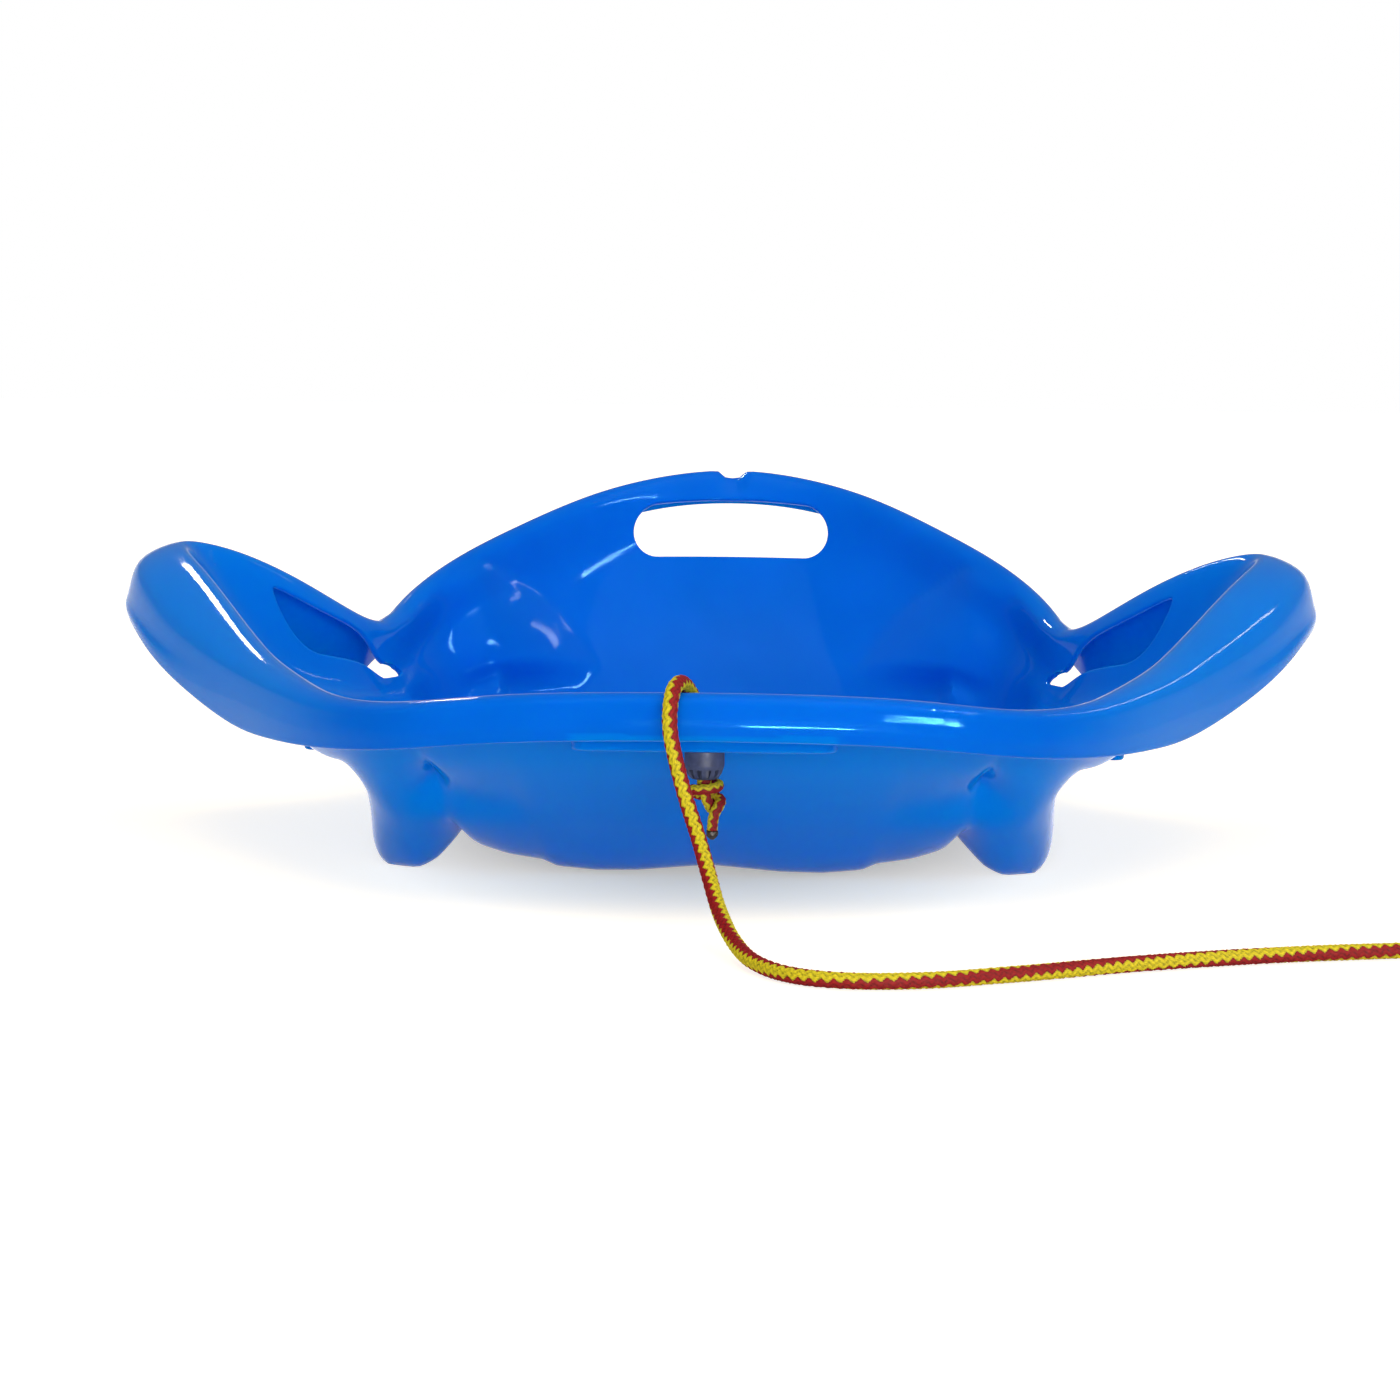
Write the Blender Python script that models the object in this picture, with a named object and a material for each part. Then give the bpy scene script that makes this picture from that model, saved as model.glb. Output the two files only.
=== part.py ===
"""A child's plastic bobsled: one thin moulded shell, a rope bush in its nose and a knotted tow rope.

Everything is in metres. +Z is up, the nose points to -Y, +X is the rider's left, and the origin is the
middle of the sled's box at the height of the snow. The shell is one wall: a sheet is drawn from the pan
that the rider sits in, out through the tub wall, the deck and the wings, over the rim and down its
flange, and its second face lies one wall thickness under it.
"""

from collections import namedtuple
import math

import bmesh
import bpy
import numpy as np

# Overall size of the moulded shell over its rim, and its wall. Places that are given as a share of one
# of these sizes move with it.
SLED_WIDTH = 0.6110
SLED_LENGTH = 0.6900
SLED_HEIGHT = 0.1695
WALL = 0.0032
PAN_TURN = 0.014
TUB_CORNER = 0.70
RIBS_KEPT_ON_BOW = (0.85, 0.30)
SIDE_COLUMNS = 28
TURN_WEIGHT = 0.045
CREASE_INSET = 0.0065
STEPS_BETWEEN_KEYS = (2, 1, 2, 2, 2, 3, 1, 1, 1, 1, 2)
RIM_FOOT_ROW = 6
RIM_TOP_ROW = 7
RIM_TURNS = (0.0, 50.0, 90.0)
FLANGE_MIDDLE = (0.4, 0.5)
RUNNER_EDGE = (0.157, 0.1625)

# Underside of the pan: distance from the middle, height over the snow. A keel groove, a wide lobe,
# a low step, a side lobe, a V channel and the runner that the sled stands on.
UNDERSIDE = (
    (0.0, 0.0048),
    (0.034, 0.0019),
    (0.054, 0.0016),
    (0.0725, 0.0032),
    (0.0785, 0.0062),
    (0.095, 0.0085),
    (0.1095, 0.0125),
    (0.1165, 0.0225),
    (0.1325, 0.0045),
    (0.140, 0.0),
    (0.149, 0.0),
    (0.157, 0.0),
    (0.1625, 0.0055),
)

# Carry slot through the backrest, and the notch in its top
SLOT_WIDTH = 0.112
SLOT_HEIGHT = 0.028
SLOT_ARCH = 0.0035
SLOT_BOTTOM = 0.717 * SLED_HEIGHT
SLOT_CUT_FRONT = SLED_LENGTH / 3
SLOT_CUT_BACK = 0.4725 * SLED_LENGTH
NOTCH_WIDTH = 0.019
NOTCH_DEPTH = 0.0045
NOTCH_RUN = 0.060

# Hand hole in the back wall of each wing, as places on the shell's own lines: how far round the rim
# (in stations) and how far out (0 is the rim's foot, 1 its top)
HAND_HOLE = (
    (9.46, 0.63),
    (9.62, 0.72),
    (10.00, 0.71),
    (10.50, 0.70),
    (10.95, 0.70),
    (11.20, 0.60),
    (11.32, 0.42),
    (11.48, 0.27),
    (11.75, 0.15),
    (11.97, -0.10),
    (12.02, -0.40),
    (11.72, -0.24),
    (11.35, 0.00),
    (11.00, 0.19),
    (10.60, 0.28),
    (10.00, 0.27),
    (9.62, 0.29),
    (9.44, 0.42),
)
HAND_HOLE_POINTS = 44
HAND_HOLE_CUT_OVER = 0.0075
HAND_HOLE_CUT_UNDER = 0.0080

# Tray under the nose deck, where the rope bush sits
BUSH_BEHIND_NOSE = 0.0400
BUSH_Y = BUSH_BEHIND_NOSE - SLED_LENGTH / 2
BUSH_HOLE_RADIUS = 0.0068
TRAY_HALF_WIDTH = 0.0974 * SLED_WIDTH
TRAY_FRONT = BUSH_Y - 0.0135
TRAY_BACK = BUSH_Y + 0.0125
TRAY_BOTTOM = 0.4336 * SLED_HEIGHT
TRAY_TOP = 0.4944 * SLED_HEIGHT
TRAY_FLOOR = 0.0033
POCKET_FLOOR = TRAY_BOTTOM + TRAY_FLOOR
POCKET_WALL = 0.0022
POCKET_CUT = 0.010
TRAY_CORNER = 0.007

# Rope bush: a turned cup that hangs under the tray and is snapped in from below
FIT_GAP = 0.0003
BUSH_CAP_RADIUS = 0.0096
BUSH_CAP_HEIGHT = 0.0018
BUSH_CUP_RADIUS = 0.0090
BUSH_CUP_HEIGHT = 0.0080
BUSH_TIP_RADIUS = 0.0054
BUSH_TIP_HEIGHT = 0.0050
BUSH_BORE_RADIUS = 0.0039
BUSH_WINDOWS = 12
BUSH_WINDOW_WIDTH = 0.0020
BUSH_WINDOW_DEPTH = 0.0028

# Tow rope: braided cord, pulled thinner where it is knotted
ROPE_RADIUS = 0.0035
KNOT_STRAND = 0.0025
ROPE_ON_SNOW = ROPE_RADIUS + 0.0001
ROPE_SIDES = 3
TIP_LENGTH = 0.0040

# Coil of the rope that is put away
COIL_X = 0.6023 * SLED_WIDTH
COIL_Y = -0.5167 * SLED_LENGTH
COIL_RADIUS = 0.0455
COIL_PITCH = 0.0075
COIL_REVERSE_AT = 1.75
COIL_TURNS = 3.25
COIL_LOW_Z = 0.0051
COIL_LAYER = 0.0075
POINTS_PER_TURN = 24

# Strap that ties the coil
TIE_ANGLE = -45.0
TIE_WIDTH = 0.008
TIE_THICKNESS = 0.0011
TIE_ROOM = 0.0006

# Stacking lugs under the wings
LUG_X = 0.3200 * SLED_WIDTH
LUG_Y = -0.1768 * SLED_LENGTH
LUG_RADIUS = 0.0055
LUG_HEIGHT = 0.0056
LUG_TOP = 0.3340 * SLED_HEIGHT
LUG_BOTTOM = LUG_TOP - LUG_HEIGHT
LUG_EDGE = 0.0018
LUG_SIDES = 14

# Hip pads in the lower corners of the backrest. An edge is a point (distance from the middle, height)
# and the way across it into the pad.
PAD_TOP_EDGE = ((0.105, 0.099), (0.584, -0.812))
PAD_INNER_EDGE = ((0.101, 0.099), (0.8, -0.6))
PAD_SLOPE = 0.34
PAD_MOST = 0.0105
PAD_BLEND = 0.002
PAD_OUTER_FADE = (0.138, 0.166)
PAD_FRONT_FADE = (0.165, 0.195)
PAD_LOW_FADE = (0.052, 0.064)

# Each station is a line from the pan to the rim: pan edge (x, y), tub wall top (how far out, height),
# deck or wing floor (share of the way to the rim, height), rim foot (the same), rim top (x, y, z), and
# the flange below it (drop, outward lean) with the radius over which the rim rolls down into it.
Line = namedtuple(
    "Line",
    "pan_x pan_y wall_run wall_top floor floor_z foot foot_z rim_x rim_y rim_z flange flare roll",
)
STATIONS = (
    Line(0.0, -0.183, 0.052, 0.038, 0.72, 0.085, 0.9, 0.0858, 0.0, -0.336, 0.102, 0.02, 0.001, 0.008),
    Line(0.06, -0.183, 0.05, 0.038, 0.72, 0.0842, 0.9, 0.0852, 0.083, -0.327, 0.0995, 0.02, 0.001, 0.008),
    Line(0.108, -0.18, 0.044, 0.037, 0.7, 0.0785, 0.88, 0.081, 0.137, -0.302, 0.093, 0.02, 0.002, 0.008),
    Line(0.145, -0.168, 0.034, 0.037, 0.66, 0.069, 0.84, 0.0745, 0.173, -0.262, 0.0922, 0.023, 0.002, 0.009),
    Line(0.1595, -0.147, 0.009, 0.0465, 0.56, 0.058, 0.74, 0.0665, 0.198, -0.216, 0.0975, 0.029, 0.002, 0.012),
    Line(0.1622, -0.11, 0.006, 0.048, 0.5, 0.057, 0.68, 0.0665, 0.22, -0.168, 0.1057, 0.033, 0.002, 0.016),
    Line(0.1625, -0.062, 0.0045, 0.048, 0.48, 0.0605, 0.66, 0.072, 0.247, -0.102, 0.1225, 0.034, 0.003, 0.024),
    Line(0.1625, -0.025, 0.0045, 0.048, 0.46, 0.064, 0.64, 0.077, 0.269, -0.048, 0.1365, 0.033, 0.002, 0.026),
    Line(0.1625, 0.01, 0.0045, 0.048, 0.44, 0.0655, 0.6, 0.079, 0.282, 0.0, 0.144, 0.034, 0.001, 0.0225),
    Line(0.1625, 0.04, 0.0045, 0.047, 0.42, 0.062, 0.58, 0.073, 0.263, 0.029, 0.1402, 0.045, 0.003, 0.016),
    Line(0.1625, 0.066, 0.0045, 0.045, 0.4, 0.0585, 0.54, 0.068, 0.234, 0.057, 0.1258, 0.048, 0.006, 0.011),
    Line(0.1625, 0.09, 0.0045, 0.045, 0.38, 0.056, 0.5, 0.064, 0.208, 0.092, 0.1065, 0.04, 0.006, 0.009),
    Line(0.162, 0.112, 0.006, 0.045, 0.42, 0.059, 0.62, 0.07, 0.1875, 0.13, 0.0945, 0.025, 0.005, 0.008),
    Line(0.148, 0.134, 0.018, 0.042, 0.58, 0.064, 0.76, 0.08, 0.174, 0.172, 0.1065, 0.021, 0.005, 0.008),
    Line(0.124, 0.146, 0.028, 0.036, 0.6, 0.07, 0.8, 0.093, 0.151, 0.214, 0.1245, 0.023, 0.006, 0.008),
    Line(0.095, 0.151, 0.036, 0.031, 0.64, 0.079, 0.83, 0.108, 0.118, 0.256, 0.141, 0.022, 0.006, 0.008),
    Line(0.062, 0.153, 0.04, 0.027, 0.66, 0.086, 0.84, 0.12, 0.08, 0.296, 0.1563, 0.02, 0.006, 0.008),
    Line(0.03, 0.154, 0.042, 0.025, 0.68, 0.093, 0.85, 0.129, 0.04, 0.322, 0.166, 0.018, 0.006, 0.008),
    Line(0.0, 0.154, 0.042, 0.0245, 0.68, 0.095, 0.85, 0.132, 0.0, 0.331, 0.1695, 0.018, 0.006, 0.008),
)
CORNER_STATION = 4
BACK_CORNER_STATION = 12


def stretch():
    """How the sled's own width, length and height differ from those that the stations are drawn at."""
    nose, back = STATIONS[0], STATIONS[-1]
    width = 2 * max(row.rim_x + row.roll + row.flare for row in STATIONS)
    length = back.rim_y + back.roll + back.flare - (nose.rim_y - nose.roll - nose.flare)
    return SLED_WIDTH / width, SLED_LENGTH / length, SLED_HEIGHT / back.rim_z


STRETCH_X, STRETCH_Y, STRETCH_Z = stretch()


def sized(row):
    """A station at the sled's own size."""
    return row._replace(
        pan_x=row.pan_x * STRETCH_X,
        pan_y=row.pan_y * STRETCH_Y,
        wall_run=row.wall_run * (STRETCH_X + STRETCH_Y) / 2,
        wall_top=row.wall_top * STRETCH_Z,
        floor_z=row.floor_z * STRETCH_Z,
        foot_z=row.foot_z * STRETCH_Z,
        rim_x=row.rim_x * STRETCH_X,
        rim_y=row.rim_y * STRETCH_Y,
        rim_z=row.rim_z * STRETCH_Z,
        flange=row.flange * STRETCH_Z,
        flare=row.flare * STRETCH_X,
        roll=row.roll * (STRETCH_X + STRETCH_Z) / 2,
    )


def closed_spline(points):
    """A smooth closed curve through points, one step of its parameter from each to the next."""
    points = np.asarray(points, float)
    count = len(points)
    system = 4 * np.eye(count) + np.roll(np.eye(count), 1, 1) + np.roll(np.eye(count), -1, 1)
    bend = np.linalg.solve(system, 6 * (np.roll(points, 1, 0) - 2 * points + np.roll(points, -1, 0)))

    def at(s):
        s = np.asarray(s, float) % count
        i = np.floor(s).astype(int) % count
        j = (i + 1) % count
        u = (s - np.floor(s))[..., None]
        v = 1 - u
        curved = (bend[i] * v**3 + bend[j] * u**3) / 6
        return curved + (points[i] - bend[i] / 6) * v + (points[j] - bend[j] / 6) * u

    return at


def through(keys, steps):
    """The smooth curves through rows of key points, read at steps, where 0 is the first row."""
    keys = np.asarray(keys, float)
    gaps = np.diff(keys, axis=0)
    widths = np.maximum(np.linalg.norm(gaps, axis=-1, keepdims=True), 1e-6) ** 0.5
    slopes = gaps / widths
    inner = (widths[1:] * slopes[:-1] + widths[:-1] * slopes[1:]) / (widths[1:] + widths[:-1])
    slopes = np.concatenate([slopes[:1], inner, slopes[-1:]])
    rows = []
    for step in steps:
        i = min(int(step), len(keys) - 2)
        u = step - i
        hermite = (1 + 2 * u) * (1 - u) ** 2 * keys[i] + u * u * (3 - 2 * u) * keys[i + 1]
        turn = u * (1 - u) ** 2 * slopes[i] - u * u * (1 - u) * slopes[i + 1]
        rows.append(hermite + turn * widths[i])
    return np.array(rows)


def station_curve():
    """Every number of a station as a smooth function of the way round the sled."""
    half = [tuple(sized(row)) for row in STATIONS]
    crossing = [Line._fields.index(name) for name in ("pan_x", "rim_x")]
    other = [tuple(-v if k in crossing else v for k, v in enumerate(row)) for row in half[-2:0:-1]]
    return closed_spline(half + other)


def underside(x):
    """Height of the pan's underside over the snow."""
    xs, heights = np.array(UNDERSIDE).T
    return np.interp(np.abs(x) / STRETCH_X, xs, heights) * STRETCH_Z


def key_rows(curve, s):
    """The points that a line from the pan to the flange passes through, at each place s round the sled.

    Row 0 lies inside the pan and only sets the direction in which the line leaves its edge.
    """
    at = Line(*np.moveaxis(curve(s), -1, 0))
    ahead = Line(*np.moveaxis(curve(np.asarray(s) + 0.01), -1, 0))
    behind = Line(*np.moveaxis(curve(np.asarray(s) - 0.01), -1, 0))
    along = np.stack([ahead.rim_x - behind.rim_x, ahead.rim_y - behind.rim_y], -1)
    along /= np.linalg.norm(along, axis=-1, keepdims=True)
    out = np.stack([along[:, 1], -along[:, 0]], -1)
    pan = np.stack([at.pan_x, at.pan_y], -1)
    rim = np.stack([at.rim_x, at.rim_y], -1)
    reach = rim - pan
    distance = np.linalg.norm(reach, axis=-1)
    inward = reach / distance[:, None]
    ribs = underside(at.pan_x)
    edge_z = WALL + ribs
    kept = np.interp(np.abs(at.pan_x) / STRETCH_X, RUNNER_EDGE, (1.0, 0.0))
    first_z = np.minimum(edge_z, WALL + kept * ribs)

    def point(plan, z):
        return np.concatenate([plan, np.asarray(z)[:, None]], -1)

    low = pan + inward * (TUB_CORNER * at.wall_run)[:, None]
    tub = pan + inward * at.wall_run[:, None]
    bow = 0.5 * (at.wall_run / distance + at.floor)
    bow_z = 0.5 * (at.wall_top + at.floor_z) + RIBS_KEPT_ON_BOW[1] * ribs
    rows = [
        point(pan - inward * PAN_TURN, first_z),
        point(pan, edge_z),
        point(low, edge_z + TUB_CORNER * (at.wall_top - edge_z)),
        point(tub, at.wall_top + RIBS_KEPT_ON_BOW[0] * ribs),
        point(pan + reach * bow[:, None], bow_z),
        point(pan + reach * at.floor[:, None], at.floor_z),
        point(pan + reach * at.foot[:, None], at.foot_z),
    ]
    crease = -np.arcsin(np.minimum(CREASE_INSET / at.roll, 0.8))
    for turn in (crease, *(np.full_like(crease, math.radians(turn)) for turn in RIM_TURNS)):
        plan = rim + out * (at.roll * np.sin(turn))[:, None]
        rows.append(point(plan, at.rim_z - at.roll * (1 - np.cos(turn))))
    along_flange, down_flange = FLANGE_MIDDLE
    middle = rim + out * (at.roll + along_flange * at.flare)[:, None]
    rows.append(point(middle, at.rim_z - at.roll - down_flange * (at.flange - at.roll)))
    end = rim + out * (at.roll + at.flare)[:, None]
    rows.append(point(end, at.rim_z - at.flange))
    return np.array(rows)


def places_round(curve):
    """Where the mesh's lines stand: one at each rib of the pan's ends, and even ones at its sides."""
    xs = [x * STRETCH_X for x, _ in UNDERSIDE[:-1]]
    front = np.linspace(0, CORNER_STATION, 400)
    back = np.linspace(len(STATIONS) - 1, BACK_CORNER_STATION, 400)
    front_s = np.interp(xs, curve(front)[:, 0], front)
    back_s = np.interp(xs, curve(back)[:, 0], back)
    side = np.linspace(CORNER_STATION, BACK_CORNER_STATION, 900)
    at = Line(*curve(side).T)
    rim = np.stack([at.rim_x, at.rim_y], -1)
    steps = np.diff(rim, axis=0)
    heading = np.unwrap(np.arctan2(steps[:, 1], steps[:, 0]))
    turns = np.abs(np.diff(heading, prepend=heading[0]))
    run = np.concatenate([[0], np.cumsum(np.linalg.norm(steps, axis=1) + TURN_WEIGHT * turns)])
    side_s = np.interp(np.linspace(0, run[-1], SIDE_COLUMNS + 1), run, side)
    return front_s, side_s, back_s


def sheet(curve):
    """The sled's upper face: its points, its faces, and the indices of its free edge."""
    front_s, side_s, back_s = places_round(curve)
    half = np.concatenate([front_s, side_s, back_s[::-1]])
    total = 2.0 * (len(STATIONS) - 1)
    ring_s = np.concatenate([half, total - half[-2:0:-1]])
    columns = len(front_s)
    across = 2 * columns + 1
    along = len(side_s)
    keys = key_rows(curve, ring_s)
    steps = [1.0]
    for gap, count in enumerate(STEPS_BETWEEN_KEYS):
        steps += [1 + gap + (k + 1) / count for k in range(count)]
    rings = through(keys, steps)
    ring_count = len(ring_s)

    # The pan's own rows: the ring's first points are its border, and straight lines fill it.
    border = rings[0]
    index = {}
    points = []
    for k in range(ring_count):
        index[("ring", 0, k)] = len(points)
        points.append(border[k])
    middle = columns

    def border_index(i, j):
        """Ring position of the pan's border node in column i (-columns to columns) and row j."""
        if j == 0:
            return i % ring_count
        if j == along - 1:
            return (ring_count // 2 - i) % ring_count
        if i == columns:
            return columns + j
        return (ring_count - columns - j) % ring_count

    grid = np.zeros((across, along), int)
    for j in range(along):
        for i in range(-columns, columns + 1):
            if j in (0, along - 1) or abs(i) == columns:
                grid[i + middle, j] = border_index(i, j)
                continue
            low = border[border_index(i, 0)]
            high = border[border_index(i, along - 1)]
            side = border[[border_index(columns, k) for k in (0, j, along - 1)], 1]
            v = (side[1] - side[0]) / (side[2] - side[0])
            x, y = low[:2] * (1 - v) + high[:2] * v
            grid[i + middle, j] = len(points)
            points.append(np.array([x, y, WALL + underside(x)]))
    faces = []
    for i in range(across - 1):
        for j in range(along - 1):
            faces.append([grid[i, j], grid[i + 1, j], grid[i + 1, j + 1], grid[i, j + 1]])
    previous = list(range(ring_count))
    for row in rings[1:]:
        current = [len(points) + k for k in range(ring_count)]
        points += list(row)
        for k in range(ring_count):
            n = (k + 1) % ring_count
            faces.append([previous[k], current[k], current[n], previous[n]])
        previous = current
    return np.array(points), faces, previous


def smooth_normals(points, faces):
    normals = np.zeros_like(points)
    for face in faces:
        a, b, c, d = points[face]
        across = np.cross(c - a, d - b)
        for k in face:
            normals[k] += across
    return normals / np.linalg.norm(normals, axis=1, keepdims=True)


def mesh_of(name, points, faces):
    """A closed mesh of flat triangles with its faces turned outwards."""
    mesh = bpy.data.meshes.new(name)
    mesh.from_pydata([tuple(p) for p in points], [], faces)
    work = bmesh.new()
    work.from_mesh(mesh)
    bmesh.ops.triangulate(work, faces=work.faces)
    bmesh.ops.recalc_face_normals(work, faces=work.faces)
    work.to_mesh(mesh)
    work.free()
    return mesh


def eased_step(value, limits):
    """Rises smoothly from 0 at the first limit to 1 at the second, which may be the lower one."""
    low, high = limits
    share = np.clip((value - low) / (high - low), 0, 1)
    return share * share * (3 - 2 * share)


def soft_least(a, b, blend):
    """The smaller of two heights, with the crossing rounded off."""
    return (a + b - np.sqrt((a - b) ** 2 + blend**2)) / 2


def hip_pads(points, normals):
    """Raises the two pads that hold the rider's hips, along the surface's own normals."""
    x = np.abs(points[:, 0]) / STRETCH_X
    y = points[:, 1] / STRETCH_Y
    z = points[:, 2] / STRETCH_Z
    slopes = []
    for (edge_x, edge_z), (way_x, way_z) in (PAD_TOP_EDGE, PAD_INNER_EDGE):
        slopes.append(PAD_SLOPE * ((x - edge_x) * way_x + (z - edge_z) * way_z))
    height = soft_least(soft_least(*slopes, PAD_BLEND), PAD_MOST, PAD_BLEND)
    height = np.maximum(height, 0)
    height *= 1 - eased_step(x, PAD_OUTER_FADE)
    height *= eased_step(y, PAD_FRONT_FADE) * eased_step(z, PAD_LOW_FADE)
    return points + normals * height[:, None]


def shell_mesh():
    curve = station_curve()
    upper, faces, edge = sheet(curve)
    upper = hip_pads(upper, smooth_normals(upper, faces))
    lower = upper - smooth_normals(upper, faces) * WALL
    rest = np.abs(upper[:, 2] - WALL) < 1e-7
    lower[rest, 2] = 0.0
    count = len(upper)
    every = [tuple(face) for face in faces]
    every += [tuple(count + k for k in reversed(face)) for face in faces]
    for k, here in enumerate(edge):
        there = edge[(k + 1) % len(edge)]
        every.append((here, count + here, count + there, there))
    return mesh_of("sled_shell", np.concatenate([upper, lower]), every)


def material(name, colour, roughness, metallic=0.0):
    made = bpy.data.materials.new(name)
    made.use_nodes = True
    shader = made.node_tree.nodes["Principled BSDF"]
    shader.inputs["Base Color"].default_value = (*colour, 1.0)
    shader.inputs["Roughness"].default_value = roughness
    shader.inputs["Metallic"].default_value = metallic
    return made


def add_object(name, mesh, made_of=None):
    thing = bpy.data.objects.new(name, mesh)
    bpy.context.collection.objects.link(thing)
    if made_of:
        mesh.materials.append(made_of)
    return thing


def prism(name, outline, start, run):
    """A solid between an outline of points at start and the same outline moved by run."""
    first = [np.asarray(start) + np.asarray(p) for p in outline]
    count = len(first)
    points = first + [p + np.asarray(run) for p in first]
    faces = [tuple(range(count)), tuple(range(2 * count - 1, count - 1, -1))]
    for k in range(count):
        n = (k + 1) % count
        faces.append((k, n, count + n, count + k))
    return mesh_of(name, points, faces)


def rounded_rectangle(half_x, half_y, radius, steps=4):
    """Corner arcs of a rectangle, as (x, y) pairs going round it."""
    points = []
    for corner, (sx, sy) in enumerate(((1, 1), (-1, 1), (-1, -1), (1, -1))):
        for k in range(steps + 1):
            turn = math.pi / 2 * (corner + k / steps)
            x = sx * (half_x - radius) + radius * math.cos(turn)
            y = sy * (half_y - radius) + radius * math.sin(turn)
            points.append((x, y))
    return points


def turned(name, profile, centre, sides):
    """A ring-shaped solid: a closed profile of (radius, height) pairs turned round a vertical axis."""
    points = []
    for k in range(sides):
        turn = 2 * math.pi * k / sides
        for radius, height in profile:
            points.append((centre[0] + radius * math.cos(turn), centre[1] + radius * math.sin(turn), height))
    count = len(profile)
    faces = []
    for k in range(sides):
        n = (k + 1) % sides
        for i in range(count):
            j = (i + 1) % count
            faces.append((k * count + i, n * count + i, n * count + j, k * count + j))
    return mesh_of(name, points, faces)


def boolean(target, other, operation="DIFFERENCE"):
    """Cuts the other shape out of the target, or joins it on; the other shape is only a guide."""
    other.hide_render = True
    other.display_type = "WIRE"
    step = target.modifiers.new(other.name, "BOOLEAN")
    step.operation = operation
    step.solver = "EXACT"
    step.object = other


def slot_outline():
    """The carry slot seen from the front: a flat bottom, round ends and a slightly arched top."""
    radius = SLOT_HEIGHT / 2
    ends = rounded_rectangle(SLOT_WIDTH / 2, radius, 0.98 * radius, 6)
    flat = SLOT_WIDTH / 2 - radius
    top = [(share * flat, radius) for share in (0.6, 0.3, 0.0, -0.3, -0.6)]
    half = len(ends) // 4
    points = ends[:half] + top + ends[half:]
    arched = []
    for x, z in points:
        arch = SLOT_ARCH * (1 - (2 * x / SLOT_WIDTH) ** 2) if z > 0 else 0.0
        arched.append((x, 0, z + arch))
    return arched


def hand_hole(curve, side):
    """The cutter of one hand hole: its outline drawn on the wing's back wall, thickened both ways."""
    evenly = np.linspace(0, len(HAND_HOLE), HAND_HOLE_POINTS, endpoint=False)
    outline = closed_spline(HAND_HOLE)(evenly)
    places = np.concatenate([outline, [outline.mean(axis=0)]])

    def surface(s, out):
        keys = key_rows(curve, np.array([s]))
        return through(keys, [RIM_FOOT_ROW + out * (RIM_TOP_ROW - RIM_FOOT_ROW)])[0][0]

    over, under = [], []
    step = 0.02
    for s, out in places:
        along = surface(s + step, out) - surface(s - step, out)
        up = surface(s, out + step) - surface(s, out - step)
        way = np.cross(along, up)
        way /= np.linalg.norm(way)
        way = way if way[2] > 0 else -way
        here = surface(s, out)
        over.append(here + way * HAND_HOLE_CUT_OVER)
        under.append(here - way * HAND_HOLE_CUT_UNDER)
    points = [(side * x, y, z) for x, y, z in over + under]
    count = len(outline)
    faces = []
    for k in range(count):
        n = (k + 1) % count
        faces.append((k, n, count))
        faces.append((count + 1 + n, count + 1 + k, 2 * count + 1))
        faces.append((k, n, count + 1 + n, count + 1 + k))
    name = "hand_hole_left" if side > 0 else "hand_hole_right"
    return add_object(name, mesh_of(name, points, faces))


def lug(side):
    """A stacking lug: a short round peg with its lower edge rounded off."""
    centre = np.array([side * LUG_X, LUG_Y, 0])
    profile = (
        (LUG_RADIUS, LUG_TOP),
        (LUG_RADIUS, LUG_BOTTOM + LUG_EDGE),
        (LUG_RADIUS - 0.3 * LUG_EDGE, LUG_BOTTOM + 0.3 * LUG_EDGE),
        (LUG_RADIUS - LUG_EDGE, LUG_BOTTOM),
    )
    rings = []
    for radius, z in profile:
        for k in range(LUG_SIDES):
            turn = 2 * math.pi * k / LUG_SIDES
            rings.append(centre + (radius * math.cos(turn), radius * math.sin(turn), z))
    faces = [tuple(range(LUG_SIDES)), tuple(range((len(profile) - 1) * LUG_SIDES, len(rings)))]
    for row in range(len(profile) - 1):
        for k in range(LUG_SIDES):
            n = (k + 1) % LUG_SIDES
            a, b = row * LUG_SIDES, (row + 1) * LUG_SIDES
            faces.append((a + k, a + n, b + n, b + k))
    name = "lug_left" if side > 0 else "lug_right"
    return add_object(name, mesh_of(name, rings, faces))


def notch_outline():
    """The notch in the backrest's top, from the front, going down from above the rim."""
    half = NOTCH_WIDTH / 2
    low = -NOTCH_DEPTH
    return [(-half, 0, NOTCH_DEPTH), (-half, 0, 0), (-half / 3, 0, low), (half / 3, 0, low), (half, 0, 0),
            (half, 0, NOTCH_DEPTH)]


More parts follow.
